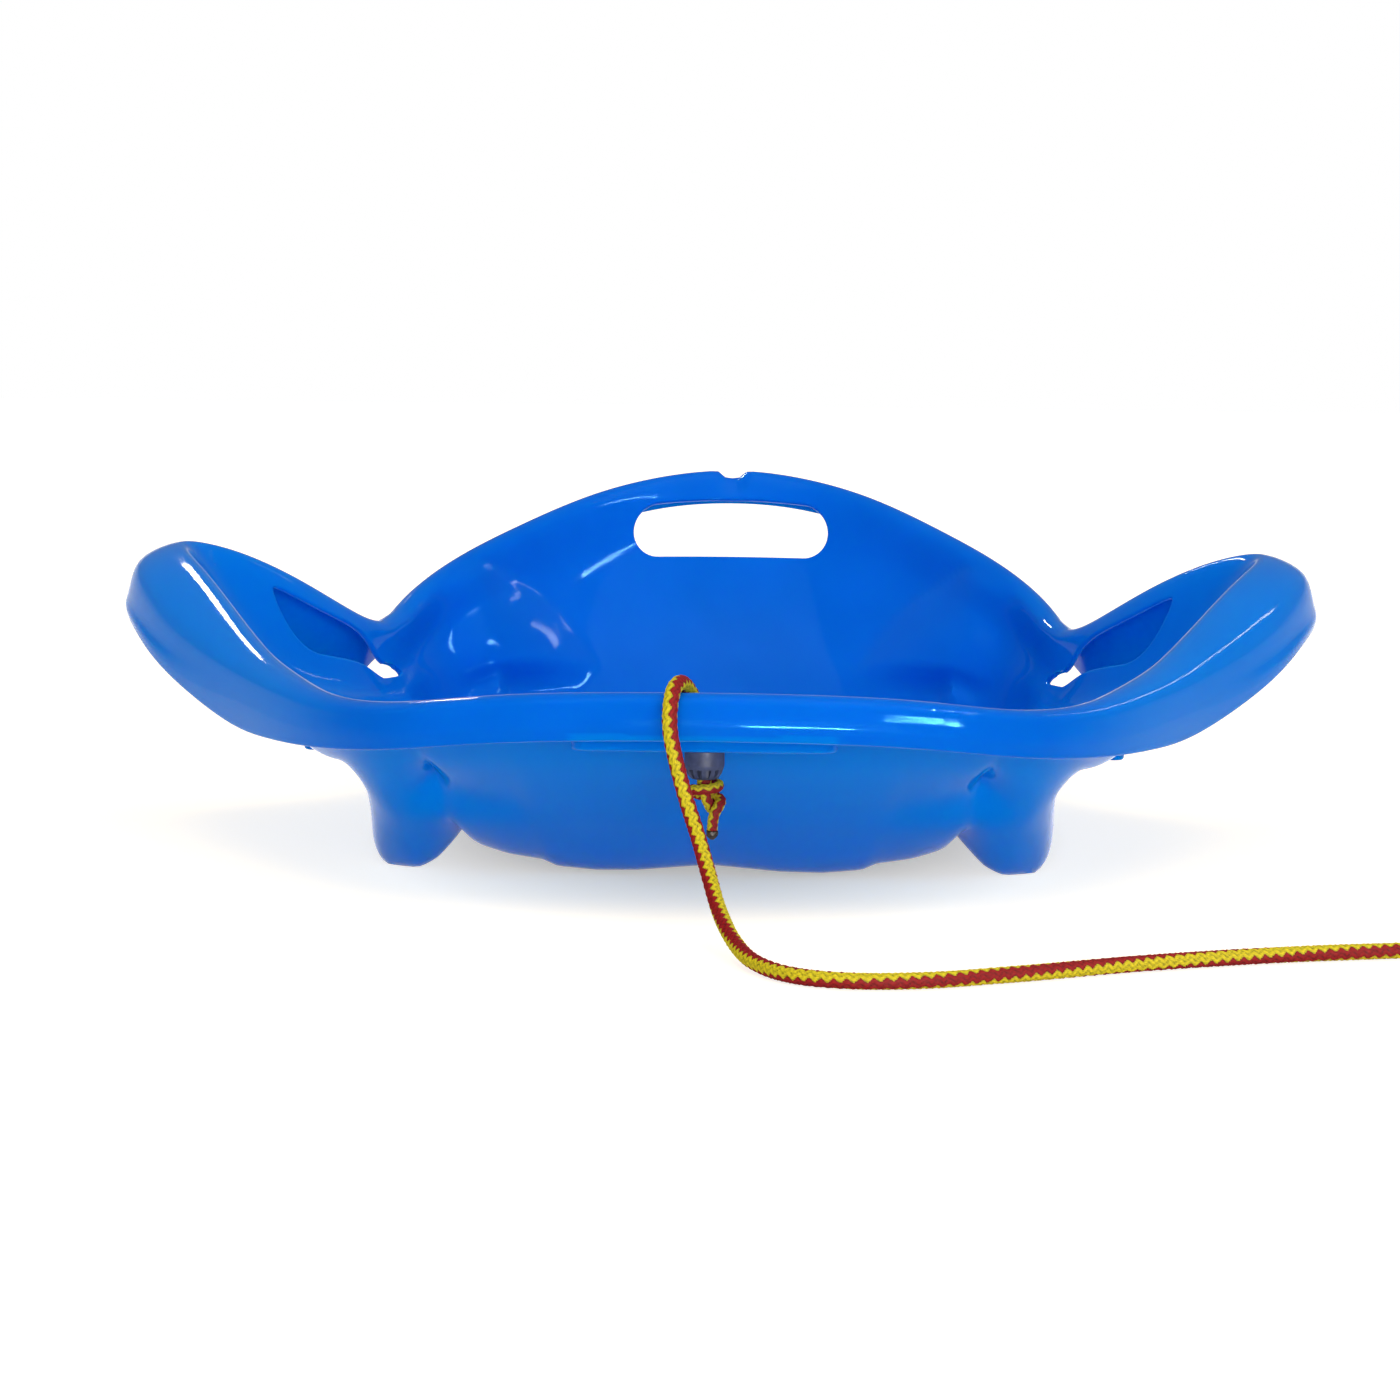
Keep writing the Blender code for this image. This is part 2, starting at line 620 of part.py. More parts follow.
def build_shell(plastic):
    """The moulded sheet with its tray, lugs, slot, notch and hand holes."""
    curve = station_curve()
    shell = add_object("sled_shell", shell_mesh(), plastic)
    centre_y = (TRAY_FRONT + TRAY_BACK) / 2
    half_depth = (TRAY_BACK - TRAY_FRONT) / 2
    for name, inset, low, high, operation in (
        ("tray", 0.0, TRAY_BOTTOM, TRAY_TOP, "UNION"),
        ("tray_pocket", POCKET_WALL, POCKET_FLOOR, TRAY_TOP + POCKET_CUT, "DIFFERENCE"),
    ):
        outline = rounded_rectangle(TRAY_HALF_WIDTH - inset, half_depth - inset, TRAY_CORNER - inset)
        outline = [(x, y, 0) for x, y in outline]
        block = add_object(name, prism(name, outline, (0, centre_y, low), (0, 0, high - low)))
        boolean(shell, block, operation)
    for side in (-1, 1):
        boolean(shell, lug(side), "UNION")
    hole_low, hole_high = TRAY_BOTTOM - POCKET_CUT, POCKET_FLOOR + POCKET_CUT
    boolean(shell, round_bar("bush_hole", BUSH_HOLE_RADIUS, (0, BUSH_Y, hole_low), hole_high - hole_low, 24))
    start = (0, SLOT_CUT_FRONT, SLOT_BOTTOM + SLOT_HEIGHT / 2)
    slot = prism("carry_slot", slot_outline(), start, (0, SLOT_CUT_BACK - SLOT_CUT_FRONT, 0))
    boolean(shell, add_object("carry_slot", slot))
    start = (0, sized(STATIONS[-1]).rim_y - NOTCH_RUN / 2, SLED_HEIGHT)
    notch = prism("top_notch", notch_outline(), start, (0, NOTCH_RUN, 0))
    boolean(shell, add_object("top_notch", notch))
    for side in (-1, 1):
        boolean(shell, hand_hole(curve, side))
    return shell


def round_bar(name, radius, foot, height, sides):
    """A plain round bar standing on its foot."""
    outline = []
    for k in range(sides):
        turn = 2 * math.pi * k / sides
        outline.append((radius * math.cos(turn), radius * math.sin(turn), 0))
    return add_object(name, prism(name, outline, foot, (0, 0, height)))


def bush_heights():
    """Heights of the bush's cap, its cup's top, the start of its taper and its bottom."""
    cup_top = TRAY_BOTTOM - FIT_GAP
    taper = cup_top - BUSH_CUP_HEIGHT
    return POCKET_FLOOR + FIT_GAP, cup_top, taper, taper - BUSH_TIP_HEIGHT


def build_bush(plastic):
    """A cup with a bore for the rope, a neck in the tray's hole and a cap that keeps it there."""
    cap, cup_top, taper, bottom = bush_heights()
    neck = BUSH_HOLE_RADIUS - FIT_GAP
    profile = (
        (BUSH_BORE_RADIUS, bottom),
        (BUSH_TIP_RADIUS, bottom),
        (BUSH_TIP_RADIUS + 0.0012, bottom + 0.0007),
        (BUSH_TIP_RADIUS + 0.0024, bottom + 0.0025),
        (BUSH_CUP_RADIUS - 0.0004, taper),
        (BUSH_CUP_RADIUS, taper + 0.0012),
        (BUSH_CUP_RADIUS, cup_top),
        (neck, cup_top),
        (neck, cap),
        (BUSH_CAP_RADIUS, cap),
        (BUSH_CAP_RADIUS, cap + 0.5 * BUSH_CAP_HEIGHT),
        (BUSH_CAP_RADIUS - 0.0008, cap + BUSH_CAP_HEIGHT),
        (BUSH_BORE_RADIUS + 0.0008, cap + BUSH_CAP_HEIGHT),
        (BUSH_BORE_RADIUS, cap + BUSH_CAP_HEIGHT - 0.0008),
    )
    bush = add_object("rope_bush", turned("rope_bush", [(r, z) for r, z in profile], (0, 0), 32), plastic)
    bush.location = (0, BUSH_Y, 0)
    points, faces = [], []
    inner, outer = BUSH_BORE_RADIUS + 0.0014, BUSH_CUP_RADIUS + 0.004
    for k in range(BUSH_WINDOWS):
        turn = 2 * math.pi * (k + 0.5) / BUSH_WINDOWS
        out = np.array([math.cos(turn), math.sin(turn), 0])
        aside = np.array([-out[1], out[0], 0]) * BUSH_WINDOW_WIDTH / 2
        base = len(points)
        for z in (bottom + 0.0010, bottom + 0.0010 + BUSH_WINDOW_DEPTH):
            for reach, way in ((inner, -1), (outer, -1), (outer, 1), (inner, 1)):
                points.append(tuple(out * reach + aside * way + np.array([0, BUSH_Y, z])))
        for quad in ((0, 1, 2, 3), (7, 6, 5, 4), (0, 4, 5, 1), (1, 5, 6, 2), (2, 6, 7, 3), (3, 7, 4, 0)):
            faces.append(tuple(base + q for q in quad))
    boolean(bush, add_object("bush_windows", mesh_of("bush_windows", points, faces)))
    return bush


def tube(name, points, made_of, radii=None, resolution=ROPE_SIDES):
    """A round cord along points, with flat ends; radii gives each point's share of the full radius."""
    data = bpy.data.curves.new(name, "CURVE")
    data.dimensions = "3D"
    data.bevel_depth = ROPE_RADIUS
    data.bevel_resolution = resolution
    data.use_fill_caps = True
    line = data.splines.new("POLY")
    line.points.add(len(points) - 1)
    for k, point in enumerate(points):
        line.points[k].co = (*point, 1.0)
        line.points[k].radius = 1.0 if radii is None else radii[k]
    data.materials.append(made_of)
    cord = bpy.data.objects.new(name, data)
    bpy.context.collection.objects.link(cord)
    return cord


def smooth_route(route, spacing):
    """Points at even spacing along the smooth curve through a route's own points."""
    fine = through(route, np.linspace(0, len(route) - 1, 40 * len(route)))
    run = np.concatenate([[0], np.cumsum(np.linalg.norm(np.diff(fine, axis=0), axis=1))])
    count = max(2, int(round(run[-1] / spacing)) + 1)
    even = np.linspace(0, run[-1], count)
    return np.stack([np.interp(even, run, fine[:, k]) for k in range(3)], -1)


def length_of(points):
    return float(np.linalg.norm(np.diff(points, axis=0), axis=1).sum())


def least_gap(points, radius):
    """Smallest clear space between two stretches of a cord that aren't next to each other."""
    points = smooth_route(points, 0.0015)
    run = np.concatenate([[0], np.cumsum(np.linalg.norm(np.diff(points, axis=0), axis=1))])
    apart = np.linalg.norm(points[:, None] - points[None], axis=2)
    far = np.abs(run[:, None] - run[None]) > math.pi * radius * 1.2
    return float(apart[far].min()) - 2 * radius


# The knot's strand, from where it leaves the bush: down the middle, back and up behind it, once round
# the front from right to left, then behind the first strand and out over it to the tail. In millimetres from
# the bush's bottom for a strand of 5 mm, with x across, y to the back and z up.
KNOT_DRAWN_STRAND = 2.5
KNOT_ROUTE = (
    (0.0, 0.0, -0.3),
    (0.0, 0.0, -3.0),
    (0.5, -0.2, -7.0),
    (2.0, 1.0, -11.2),
    (3.2, 5.4, -13.8),
    (3.0, 10.6, -11.8),
    (2.6, 12.4, -7.2),
    (4.0, 10.2, -3.6),
    (6.2, 4.6, -3.0),
    (5.6, -2.4, -3.4),
    (1.2, -6.4, -3.9),
    (-4.5, -5.2, -4.3),
    (-7.0, -0.2, -5.2),
    (-5.2, 4.6, -6.6),
    (-0.8, 6.1, -8.0),
    (4.2, 5.9, -8.4),
    (7.2, 3.0, -9.6),
    (6.8, -2.0, -11.6),
    (4.9, -4.0, -15.0),
    (4.1, -3.8, -19.0),
    (3.9, -3.4, -22.5),
)


def knot(name, frame, cord_colour, tip_colour):
    """An overhand knot with its tail and melted tip. The frame turns the knot's axes into place."""
    origin, across, back, up = (np.array(v, float) for v in frame)
    scale = KNOT_STRAND / KNOT_DRAWN_STRAND
    route = [origin + (x * across + y * back + z * up) * scale for x, y, z in KNOT_ROUTE]
    points = smooth_route(np.array(route), 0.0032)
    share = KNOT_STRAND / ROPE_RADIUS
    radii = [1.0 if k == 0 else max(share, 1.0 - (1 - share) * k / 2) for k in range(len(points))]
    tube(name, points, cord_colour, radii, 2)
    print(name, "least gap to itself, mm:", round(1000 * least_gap(points, KNOT_STRAND), 2))
    way = points[-1] - points[-2]
    way /= np.linalg.norm(way)
    start = points[-1] + way * FIT_GAP
    tip = [start + way * TIP_LENGTH * k / 3 for k in range(4)]
    tube(name + "_melted_tip", tip, tip_colour, [share, share * 1.04, share * 0.9, share * 0.45], 2)
    return points


# The free rope: up through the bush, over the nose rim, down in front of it and along the snow. The
# heights are over the line of a rope that lies on the snow.
TOW_ROUTE = (
    (0.0000, -0.3050, 0.0566),
    (0.0000, -0.3050, 0.0644),
    (0.0000, -0.3050, 0.0724),
    (0.0000, -0.3050, 0.0769),
    (-0.0005, -0.3058, 0.0819),
    (-0.0022, -0.3090, 0.0879),
    (-0.0056, -0.3160, 0.0954),
    (-0.0086, -0.3250, 0.1009),
    (-0.0110, -0.3355, 0.1025),
    (-0.0131, -0.3448, 0.0999),
    (-0.0142, -0.3508, 0.0929),
    (-0.0140, -0.3538, 0.0834),
    (-0.0112, -0.3575, 0.0704),
    (-0.0064, -0.3640, 0.0544),
    (-0.0008, -0.3740, 0.0394),
    (0.0042, -0.3890, 0.0254),
    (0.0094, -0.4120, 0.0129),
    (0.0164, -0.4420, 0.0044),
    (0.0260, -0.4750, 0.0008),
    (0.0420, -0.5010, 0.0000),
    (0.0650, -0.5120, 0.0000),
    (0.0950, -0.5080, 0.0000),
    (0.1300, -0.4900, 0.0000),
    (0.1900, -0.4540, 0.0000),
    (0.2500, -0.4270, 0.0000),
    (0.3000, -0.4115, 0.0000),
    (0.3350, -0.4045, 0.0004),
    (0.3520, -0.4022, 0.0012),
)


def coil_points():
    """The coil: in, up one layer in the half turn where the spiral reverses, and out again."""
    points = []
    count = round(COIL_TURNS * POINTS_PER_TURN)
    for k in range(count + 1):
        turns = COIL_TURNS * k / count
        inward = min(turns, 2 * COIL_REVERSE_AT - turns)
        radius = COIL_RADIUS - COIL_PITCH * inward
        climb = min(max((turns - COIL_REVERSE_AT + 0.25) / 0.5, 0.0), 1.0)
        z = COIL_LOW_Z + COIL_LAYER * climb * climb * (3 - 2 * climb)
        angle = 2 * math.pi * turns - math.pi / 2
        points.append((COIL_X + radius * math.cos(angle), COIL_Y + radius * math.sin(angle), z))
    points = [np.array(p) for p in points]
    first = points[0] - np.array([2 * ROPE_RADIUS, 0, 0])
    last = points[-1] + np.array([0, 2 * ROPE_RADIUS, 0])
    return np.array([first] + points + [last])


def build_rope(cord_colour, tip_colour, strap_colour):
    bottom = bush_heights()[3]
    frame = ((0, BUSH_Y, bottom), (1, 0, 0), (0, 1, 0), (0, 0, 1))
    knotted = knot("stopper_knot", frame, cord_colour, tip_colour)
    to_coil = (COIL_X - 2 * ROPE_RADIUS - FIT_GAP, COIL_Y - COIL_RADIUS, COIL_LOW_Z)
    route = np.array(TOW_ROUTE) * (STRETCH_X, STRETCH_Y, STRETCH_Z) + (0, 0, ROPE_ON_SNOW)
    tow = smooth_route(np.concatenate([route, [to_coil]]), 1.5 * ROPE_RADIUS * 2)
    tube("tow_rope", tow, cord_colour)
    coil = coil_points()
    tube("rope_coil", coil, cord_colour, resolution=1)
    print("rope_coil least gap to itself, mm:", round(1000 * least_gap(coil, ROPE_RADIUS), 2))
    end = coil[-1]
    high = ROPE_ON_SNOW + 0.0062
    last_route = (
        end + (0, FIT_GAP, 0),
        end + (0, 0.0075, 0),
        end + (0.0005, 0.022, -0.0015),
        (end[0] + 0.003, end[1] + 0.040, 0.0062),
        (end[0] + 0.010, end[1] + 0.056, ROPE_ON_SNOW),
        (end[0] + 0.022, end[1] + 0.067, ROPE_ON_SNOW),
        (end[0] + 0.036, end[1] + 0.070, ROPE_ON_SNOW + 0.0010),
        (end[0] + 0.050, end[1] + 0.070, high),
        (end[0] + 0.058, end[1] + 0.070, high),
    )
    last = smooth_route(np.array(last_route), 0.0085)
    tube("rope_end", last, cord_colour)
    frame = (last[-1], (0, 0, -1), (0, 1, 0), (-1, 0, 0))
    end_knot = knot("end_knot", frame, cord_colour, tip_colour)
    total = sum(length_of(run) for run in (knotted, tow, coil, last, end_knot))
    print("rope length, m:", round(total, 3))
    build_tie(strap_colour)


def build_tie(strap_colour):
    """A strap round the coil's strands, with its width along the strands."""
    turn = math.radians(TIE_ANGLE)
    first = (turn + math.pi / 2) / (2 * math.pi) % 1.0
    radii = []
    for whole in range(int(COIL_TURNS - first) + 1):
        turns = first + whole
        radii.append(COIL_RADIUS - COIL_PITCH * min(turns, 2 * COIL_REVERSE_AT - turns))
    middle = (min(radii) + max(radii)) / 2
    half_x = (max(radii) - min(radii)) / 2 + ROPE_RADIUS + TIE_ROOM
    half_z = COIL_LAYER / 2 + ROPE_RADIUS + TIE_ROOM / 2
    centre_z = COIL_LOW_Z + COIL_LAYER / 2
    out = np.array([math.cos(turn), math.sin(turn), 0])
    along = np.array([-out[1], out[0], 0])
    centre = np.array([COIL_X, COIL_Y, centre_z]) + out * middle
    points, faces = [], []
    inner = rounded_rectangle(half_x, half_z, ROPE_RADIUS)
    outer = rounded_rectangle(half_x + TIE_THICKNESS, half_z + TIE_THICKNESS, ROPE_RADIUS + TIE_THICKNESS)
    for (xi, zi), (xo, zo) in zip(inner, outer):
        for x, z in ((xi, zi), (xo, zo)):
            for side in (-0.5, 0.5):
                points.append(centre + out * x + np.array([0, 0, z]) + along * side * TIE_WIDTH)
    count = len(inner)
    for k in range(count):
        a, b = 4 * k, 4 * ((k + 1) % count)
        faces.append((a, a + 1, b + 1, b))
        faces.append((a + 3, a + 2, b + 2, b + 3))
        faces.append((a + 1, a + 3, b + 3, b + 1))
        faces.append((a + 2, a, b, b + 2))
    add_object("coil_tie", mesh_of("coil_tie", points, faces), strap_colour)


def main():
    for thing in list(bpy.data.objects):
        bpy.data.objects.remove(thing)
    build_shell(material("blue_polyethylene", (0.0, 0.12, 0.70), 0.25))
    build_bush(material("grey_blue_plastic", (0.22, 0.27, 0.42), 0.40))
    build_rope(
        material("braided_cord", (0.75, 0.25, 0.03), 0.85),
        material("melted_cord_end", (0.05, 0.03, 0.02), 0.45),
        material("black_strap", (0.02, 0.02, 0.02), 0.80),
    )


main()
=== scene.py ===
"""Looks of a child's plastic bobsled: the moulded shell, its rope bush and a red and yellow braided rope."""

from collections import namedtuple
import math

import bmesh
import bpy
import numpy as np
from bpy.props import FloatProperty, FloatVectorProperty, IntProperty, PointerProperty
from mathutils import Matrix, Vector
from mathutils.geometry import delaunay_2d_cdt
from mathutils.kdtree import KDTree


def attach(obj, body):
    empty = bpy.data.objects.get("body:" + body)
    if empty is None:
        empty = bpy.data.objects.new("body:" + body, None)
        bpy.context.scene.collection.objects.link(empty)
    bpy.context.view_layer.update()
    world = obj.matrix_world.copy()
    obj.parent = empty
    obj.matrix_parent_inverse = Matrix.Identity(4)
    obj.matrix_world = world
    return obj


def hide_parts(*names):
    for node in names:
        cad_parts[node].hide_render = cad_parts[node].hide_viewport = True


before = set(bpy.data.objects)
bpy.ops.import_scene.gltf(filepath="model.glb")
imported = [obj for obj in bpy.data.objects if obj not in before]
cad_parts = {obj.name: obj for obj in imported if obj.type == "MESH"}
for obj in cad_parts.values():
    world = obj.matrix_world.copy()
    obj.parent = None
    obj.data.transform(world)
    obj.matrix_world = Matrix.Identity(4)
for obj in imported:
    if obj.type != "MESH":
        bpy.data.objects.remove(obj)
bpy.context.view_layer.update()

bl_info = {
    "name": "Plastic Bobsled",
    "version": (1, 0, 0),
    "blender": (4, 5, 0),
    "location": "View3D > Sidebar > Bobsled",
    "description": "Builds a child's plastic bobsled with a knotted tow rope",
    "category": "Add Mesh",
}

SLED_BODY = "sled"
BUSH_BODY = "rope_bush"

# Moulded shell, in metres, on the same lines as the solids
WALL = 0.0032
PAN_TURN = 0.014
TUB_CORNER = 0.70
RIBS_KEPT_ON_BOW = (0.85, 0.30)
CREASE_INSET = 0.0065
RIM_TURNS = (0.0, 50.0, 90.0)
FLANGE_MIDDLE = (0.4, 0.55)
FLANGE_SWELL = 0.0007
FLANGE_TUCK = 0.0006
RUNNER_EDGE = (0.157, 0.1625)
RIM_FOOT_ROW = 6

UNDERSIDE = (
    (0.0, 0.0048),
    (0.034, 0.0019),
    (0.054, 0.0016),
    (0.0725, 0.0032),
    (0.0785, 0.0062),
    (0.095, 0.0085),
    (0.1095, 0.0125),
    (0.1165, 0.0225),
    (0.1325, 0.0045),
    (0.140, 0.0),
    (0.149, 0.0),
    (0.157, 0.0),
    (0.1625, 0.0055),
)
RIB_ROUNDING = 0.0022

# How the shell is meshed: points between one key row and the next, and the way round
ROW_STEPS = (8, 4, 5, 7, 7, 9, 4, 5, 4, 5, 5)
RIB_SPACING = 0.0032
TURN_SPACING = 0.05
HOLE_MARGIN = 0.006
HOLE_GUIDES = (0.0007, 0.0018)
HOLE_CLEAR = 0.0028
EDGE_BULGE = 0.0012
EDGE_TURNS = (30.0, 60.0, 90.0, 120.0, 150.0)

HAND_HOLE = (
    (9.46, 0.63),
    (9.62, 0.72),
    (10.00, 0.71),
    (10.50, 0.70),
    (10.95, 0.70),
    (11.20, 0.60),
    (11.32, 0.42),
    (11.48, 0.27),
    (11.75, 0.15),
    (11.97, -0.10),
    (12.02, -0.40),
    (11.72, -0.24),
    (11.35, 0.00),
    (11.00, 0.19),
    (10.60, 0.28),
    (10.00, 0.27),
    (9.62, 0.29),
    (9.44, 0.42),
)

SLOT_WIDTH = 0.112
SLOT_HEIGHT = 0.028
SLOT_ARCH = 0.0035
SLOT_BOTTOM = 0.1215
SLOT_ROW = 6.4
NOTCH_WIDTH = 0.019
NOTCH_DEPTH = 0.0045
NOTCH_SIDE = 0.36
NOTCH_REACH = 0.016
NOTCH_FADE = 0.012
BACKREST_Y = (0.30, 0.31)

TRAY_HALF_WIDTH = 0.0595
TRAY_FRONT = -0.3185
TRAY_BACK = -0.2925
TRAY_BOTTOM = 0.0735
TRAY_TOP = 0.0838
TRAY_CORNER = 0.007
TRAY_EDGE = 0.0016
POCKET_EDGE = 0.0008
POCKET_FLOOR = 0.0768
POCKET_WALL = 0.0022
POCKET_CUT = 0.010
BUSH_Y = -0.305
BUSH_HOLE_RADIUS = 0.0068

LUG_X = 0.1955
LUG_Y = -0.122
LUG_RADIUS = 0.0055
LUG_BOTTOM = 0.0510
LUG_TOP = 0.0566

# Shares of the underside's teal colour on the rope tray and on the wings: painted light, standing for the
# light that comes through the wall
TRAY_PAINTED_LIGHT = 0.55
WING_PAINTED_LIGHT = 0.5
WING_PAINTED_LIGHT_FROM = 0.155
WING_PAINTED_LIGHT_FADE = 0.05
NEAR = 0.001

# One line from the pan up to the rim and down its flange: places in metres, reaches as shares
Line = namedtuple(
    "Line",
    "pan_x pan_y wall_run wall_top floor floor_z foot foot_z rim_x rim_y rim_z flange flare roll",
)
STATIONS = tuple(Line(*row) for row in (
    (0.0, -0.183, 0.052, 0.038, 0.72, 0.085, 0.9, 0.0858, 0.0, -0.336, 0.102, 0.02, 0.001, 0.008),
    (0.06, -0.183, 0.05, 0.038, 0.72, 0.0842, 0.9, 0.0852, 0.083, -0.327, 0.0995, 0.02, 0.001, 0.008),
    (0.108, -0.18, 0.044, 0.037, 0.7, 0.0785, 0.88, 0.081, 0.137, -0.302, 0.093, 0.02, 0.002, 0.008),
    (0.145, -0.168, 0.034, 0.037, 0.66, 0.069, 0.84, 0.0745, 0.173, -0.262, 0.0922, 0.023, 0.002, 0.009),
    (0.1595, -0.147, 0.009, 0.0465, 0.56, 0.058, 0.74, 0.0665, 0.198, -0.216, 0.0975, 0.029, 0.002, 0.012),
    (0.1622, -0.11, 0.006, 0.048, 0.5, 0.057, 0.68, 0.0665, 0.22, -0.168, 0.1057, 0.033, 0.002, 0.016),
    (0.1625, -0.062, 0.0045, 0.048, 0.48, 0.0605, 0.66, 0.072, 0.247, -0.102, 0.1225, 0.034, 0.003, 0.024),
    (0.1625, -0.025, 0.0045, 0.048, 0.46, 0.064, 0.64, 0.077, 0.269, -0.048, 0.1365, 0.033, 0.002, 0.026),
    (0.1625, 0.01, 0.0045, 0.048, 0.44, 0.0655, 0.6, 0.079, 0.282, 0.0, 0.144, 0.034, 0.001, 0.0225),
    (0.1625, 0.04, 0.0045, 0.047, 0.42, 0.062, 0.58, 0.073, 0.263, 0.029, 0.1402, 0.045, 0.003, 0.016),
    (0.1625, 0.066, 0.0045, 0.045, 0.4, 0.0585, 0.54, 0.068, 0.234, 0.057, 0.1258, 0.048, 0.006, 0.011),
    (0.1625, 0.09, 0.0045, 0.045, 0.38, 0.056, 0.5, 0.064, 0.208, 0.092, 0.1065, 0.04, 0.006, 0.009),
    (0.162, 0.112, 0.006, 0.045, 0.42, 0.059, 0.62, 0.07, 0.1875, 0.13, 0.0945, 0.025, 0.005, 0.008),
    (0.148, 0.134, 0.018, 0.042, 0.58, 0.064, 0.76, 0.08, 0.174, 0.172, 0.1065, 0.021, 0.005, 0.008),
    (0.124, 0.146, 0.028, 0.036, 0.6, 0.07, 0.8, 0.093, 0.151, 0.214, 0.1245, 0.023, 0.006, 0.008),
    (0.095, 0.151, 0.036, 0.031, 0.64, 0.079, 0.83, 0.108, 0.118, 0.256, 0.141, 0.022, 0.006, 0.008),
    (0.062, 0.153, 0.04, 0.027, 0.66, 0.086, 0.84, 0.12, 0.08, 0.296, 0.1563, 0.02, 0.006, 0.008),
    (0.03, 0.154, 0.042, 0.025, 0.68, 0.093, 0.85, 0.129, 0.04, 0.322, 0.166, 0.018, 0.006, 0.008),
    (0.0, 0.154, 0.042, 0.0245, 0.68, 0.095, 0.85, 0.132, 0.0, 0.331, 0.1695, 0.018, 0.006, 0.008),
))
CORNER_STATION = 4
BACK_CORNER_STATION = 12


def closed_spline(points):
    """A smooth closed curve through points, one step of its parameter from each to the next."""
    points = np.asarray(points, float)
    count = len(points)
    system = 4 * np.eye(count) + np.roll(np.eye(count), 1, 1) + np.roll(np.eye(count), -1, 1)
    bend = np.linalg.solve(system, 6 * (np.roll(points, 1, 0) - 2 * points + np.roll(points, -1, 0)))

    def at(s):
        s = np.asarray(s, float) % count
        i = np.floor(s).astype(int) % count
        j = (i + 1) % count
        u = (s - np.floor(s))[..., None]
        v = 1 - u
        curved = (bend[i] * v**3 + bend[j] * u**3) / 6
        return curved + (points[i] - bend[i] / 6) * v + (points[j] - bend[j] / 6) * u

    return at


def through(keys, steps):
    """The smooth curve through each column of key points, read at that column's own step."""
    keys = np.asarray(keys, float)
    gaps = np.diff(keys, axis=0)
    widths = np.maximum(np.linalg.norm(gaps, axis=-1, keepdims=True), 1e-6) ** 0.5
    slopes = gaps / widths
    inner = (widths[1:] * slopes[:-1] + widths[:-1] * slopes[1:]) / (widths[1:] + widths[:-1])
    slopes = np.concatenate([slopes[:1], inner, slopes[-1:]])
    columns = np.arange(keys.shape[1])
    i = np.minimum(np.floor(steps).astype(int), len(keys) - 2)
    u = (steps - i)[:, None]
    here, there = keys[i, columns], keys[i + 1, columns]
    hermite = (1 + 2 * u) * (1 - u) ** 2 * here + u * u * (3 - 2 * u) * there
    turn = u * (1 - u) ** 2 * slopes[i, columns] - u * u * (1 - u) * slopes[i + 1, columns]
    return hermite + turn * widths[i, columns]


def station_curve():
    """Every number of a station as a smooth function of the way round the sled."""
    half = [tuple(row) for row in STATIONS]
    crossing = [Line._fields.index(name) for name in ("pan_x", "rim_x")]
    other = [tuple(-v if k in crossing else v for k, v in enumerate(row)) for row in half[-2:0:-1]]
    return closed_spline(half + other)


CURVE = station_curve()


def underside(x):
    """Height of the pan's underside over the snow, its edges rounded off."""
    xs, heights = zip(*UNDERSIDE)
    spread = np.linspace(-1, 1, 9) * RIB_ROUNDING
    weights = np.cos(np.linspace(-1, 1, 9) * math.pi / 2.4)
    around = np.abs(np.asarray(x)[..., None] + spread)
    flat = np.interp(around, xs, heights)
    return (flat * weights).sum(-1) / weights.sum()


def key_rows(s):
    """The points that a line from the pan to the flange passes through, at each place s round the sled."""
    at = Line(*np.moveaxis(CURVE(s), -1, 0))
    ahead = Line(*np.moveaxis(CURVE(np.asarray(s) + 0.01), -1, 0))
    behind = Line(*np.moveaxis(CURVE(np.asarray(s) - 0.01), -1, 0))
    along = np.stack([ahead.rim_x - behind.rim_x, ahead.rim_y - behind.rim_y], -1)
    along /= np.linalg.norm(along, axis=-1, keepdims=True)
    out = np.stack([along[:, 1], -along[:, 0]], -1)
    pan = np.stack([at.pan_x, at.pan_y], -1)
    rim = np.stack([at.rim_x, at.rim_y], -1)
    reach = rim - pan
    distance = np.linalg.norm(reach, axis=-1)
    inward = reach / distance[:, None]
    ribs = underside(at.pan_x)
    edge_z = WALL + ribs
    kept = np.interp(np.abs(at.pan_x), RUNNER_EDGE, (1.0, 0.0))
    first_z = np.minimum(edge_z, WALL + kept * ribs)

    def point(plan, z):
        return np.concatenate([plan, np.asarray(z)[:, None]], -1)

    low = pan + inward * (TUB_CORNER * at.wall_run)[:, None]
    tub = pan + inward * at.wall_run[:, None]
    bow = 0.5 * (at.wall_run / distance + at.floor)
    bow_z = 0.5 * (at.wall_top + at.floor_z) + RIBS_KEPT_ON_BOW[1] * ribs
    rows = [
        point(pan - inward * PAN_TURN, first_z),
        point(pan, edge_z),
        point(low, edge_z + TUB_CORNER * (at.wall_top - edge_z)),
        point(tub, at.wall_top + RIBS_KEPT_ON_BOW[0] * ribs),
        point(pan + reach * bow[:, None], bow_z),
        point(pan + reach * at.floor[:, None], at.floor_z),
        point(pan + reach * at.foot[:, None], at.foot_z),
    ]
    crease = -np.arcsin(np.minimum(CREASE_INSET / at.roll, 0.8))
    for turn in (crease, *(np.full_like(crease, math.radians(turn)) for turn in RIM_TURNS)):
        plan = rim + out * (at.roll * np.sin(turn))[:, None]
        rows.append(point(plan, at.rim_z - at.roll * (1 - np.cos(turn))))
    along_flange, down_flange = FLANGE_MIDDLE
    middle = rim + out * (at.roll + along_flange * at.flare + FLANGE_SWELL)[:, None]
    rows.append(point(middle, at.rim_z - at.roll - down_flange * (at.flange - at.roll)))
    end = rim + out * (at.roll + at.flare - FLANGE_TUCK)[:, None]
    rows.append(point(end, at.rim_z - at.flange))
    return np.array(rows)


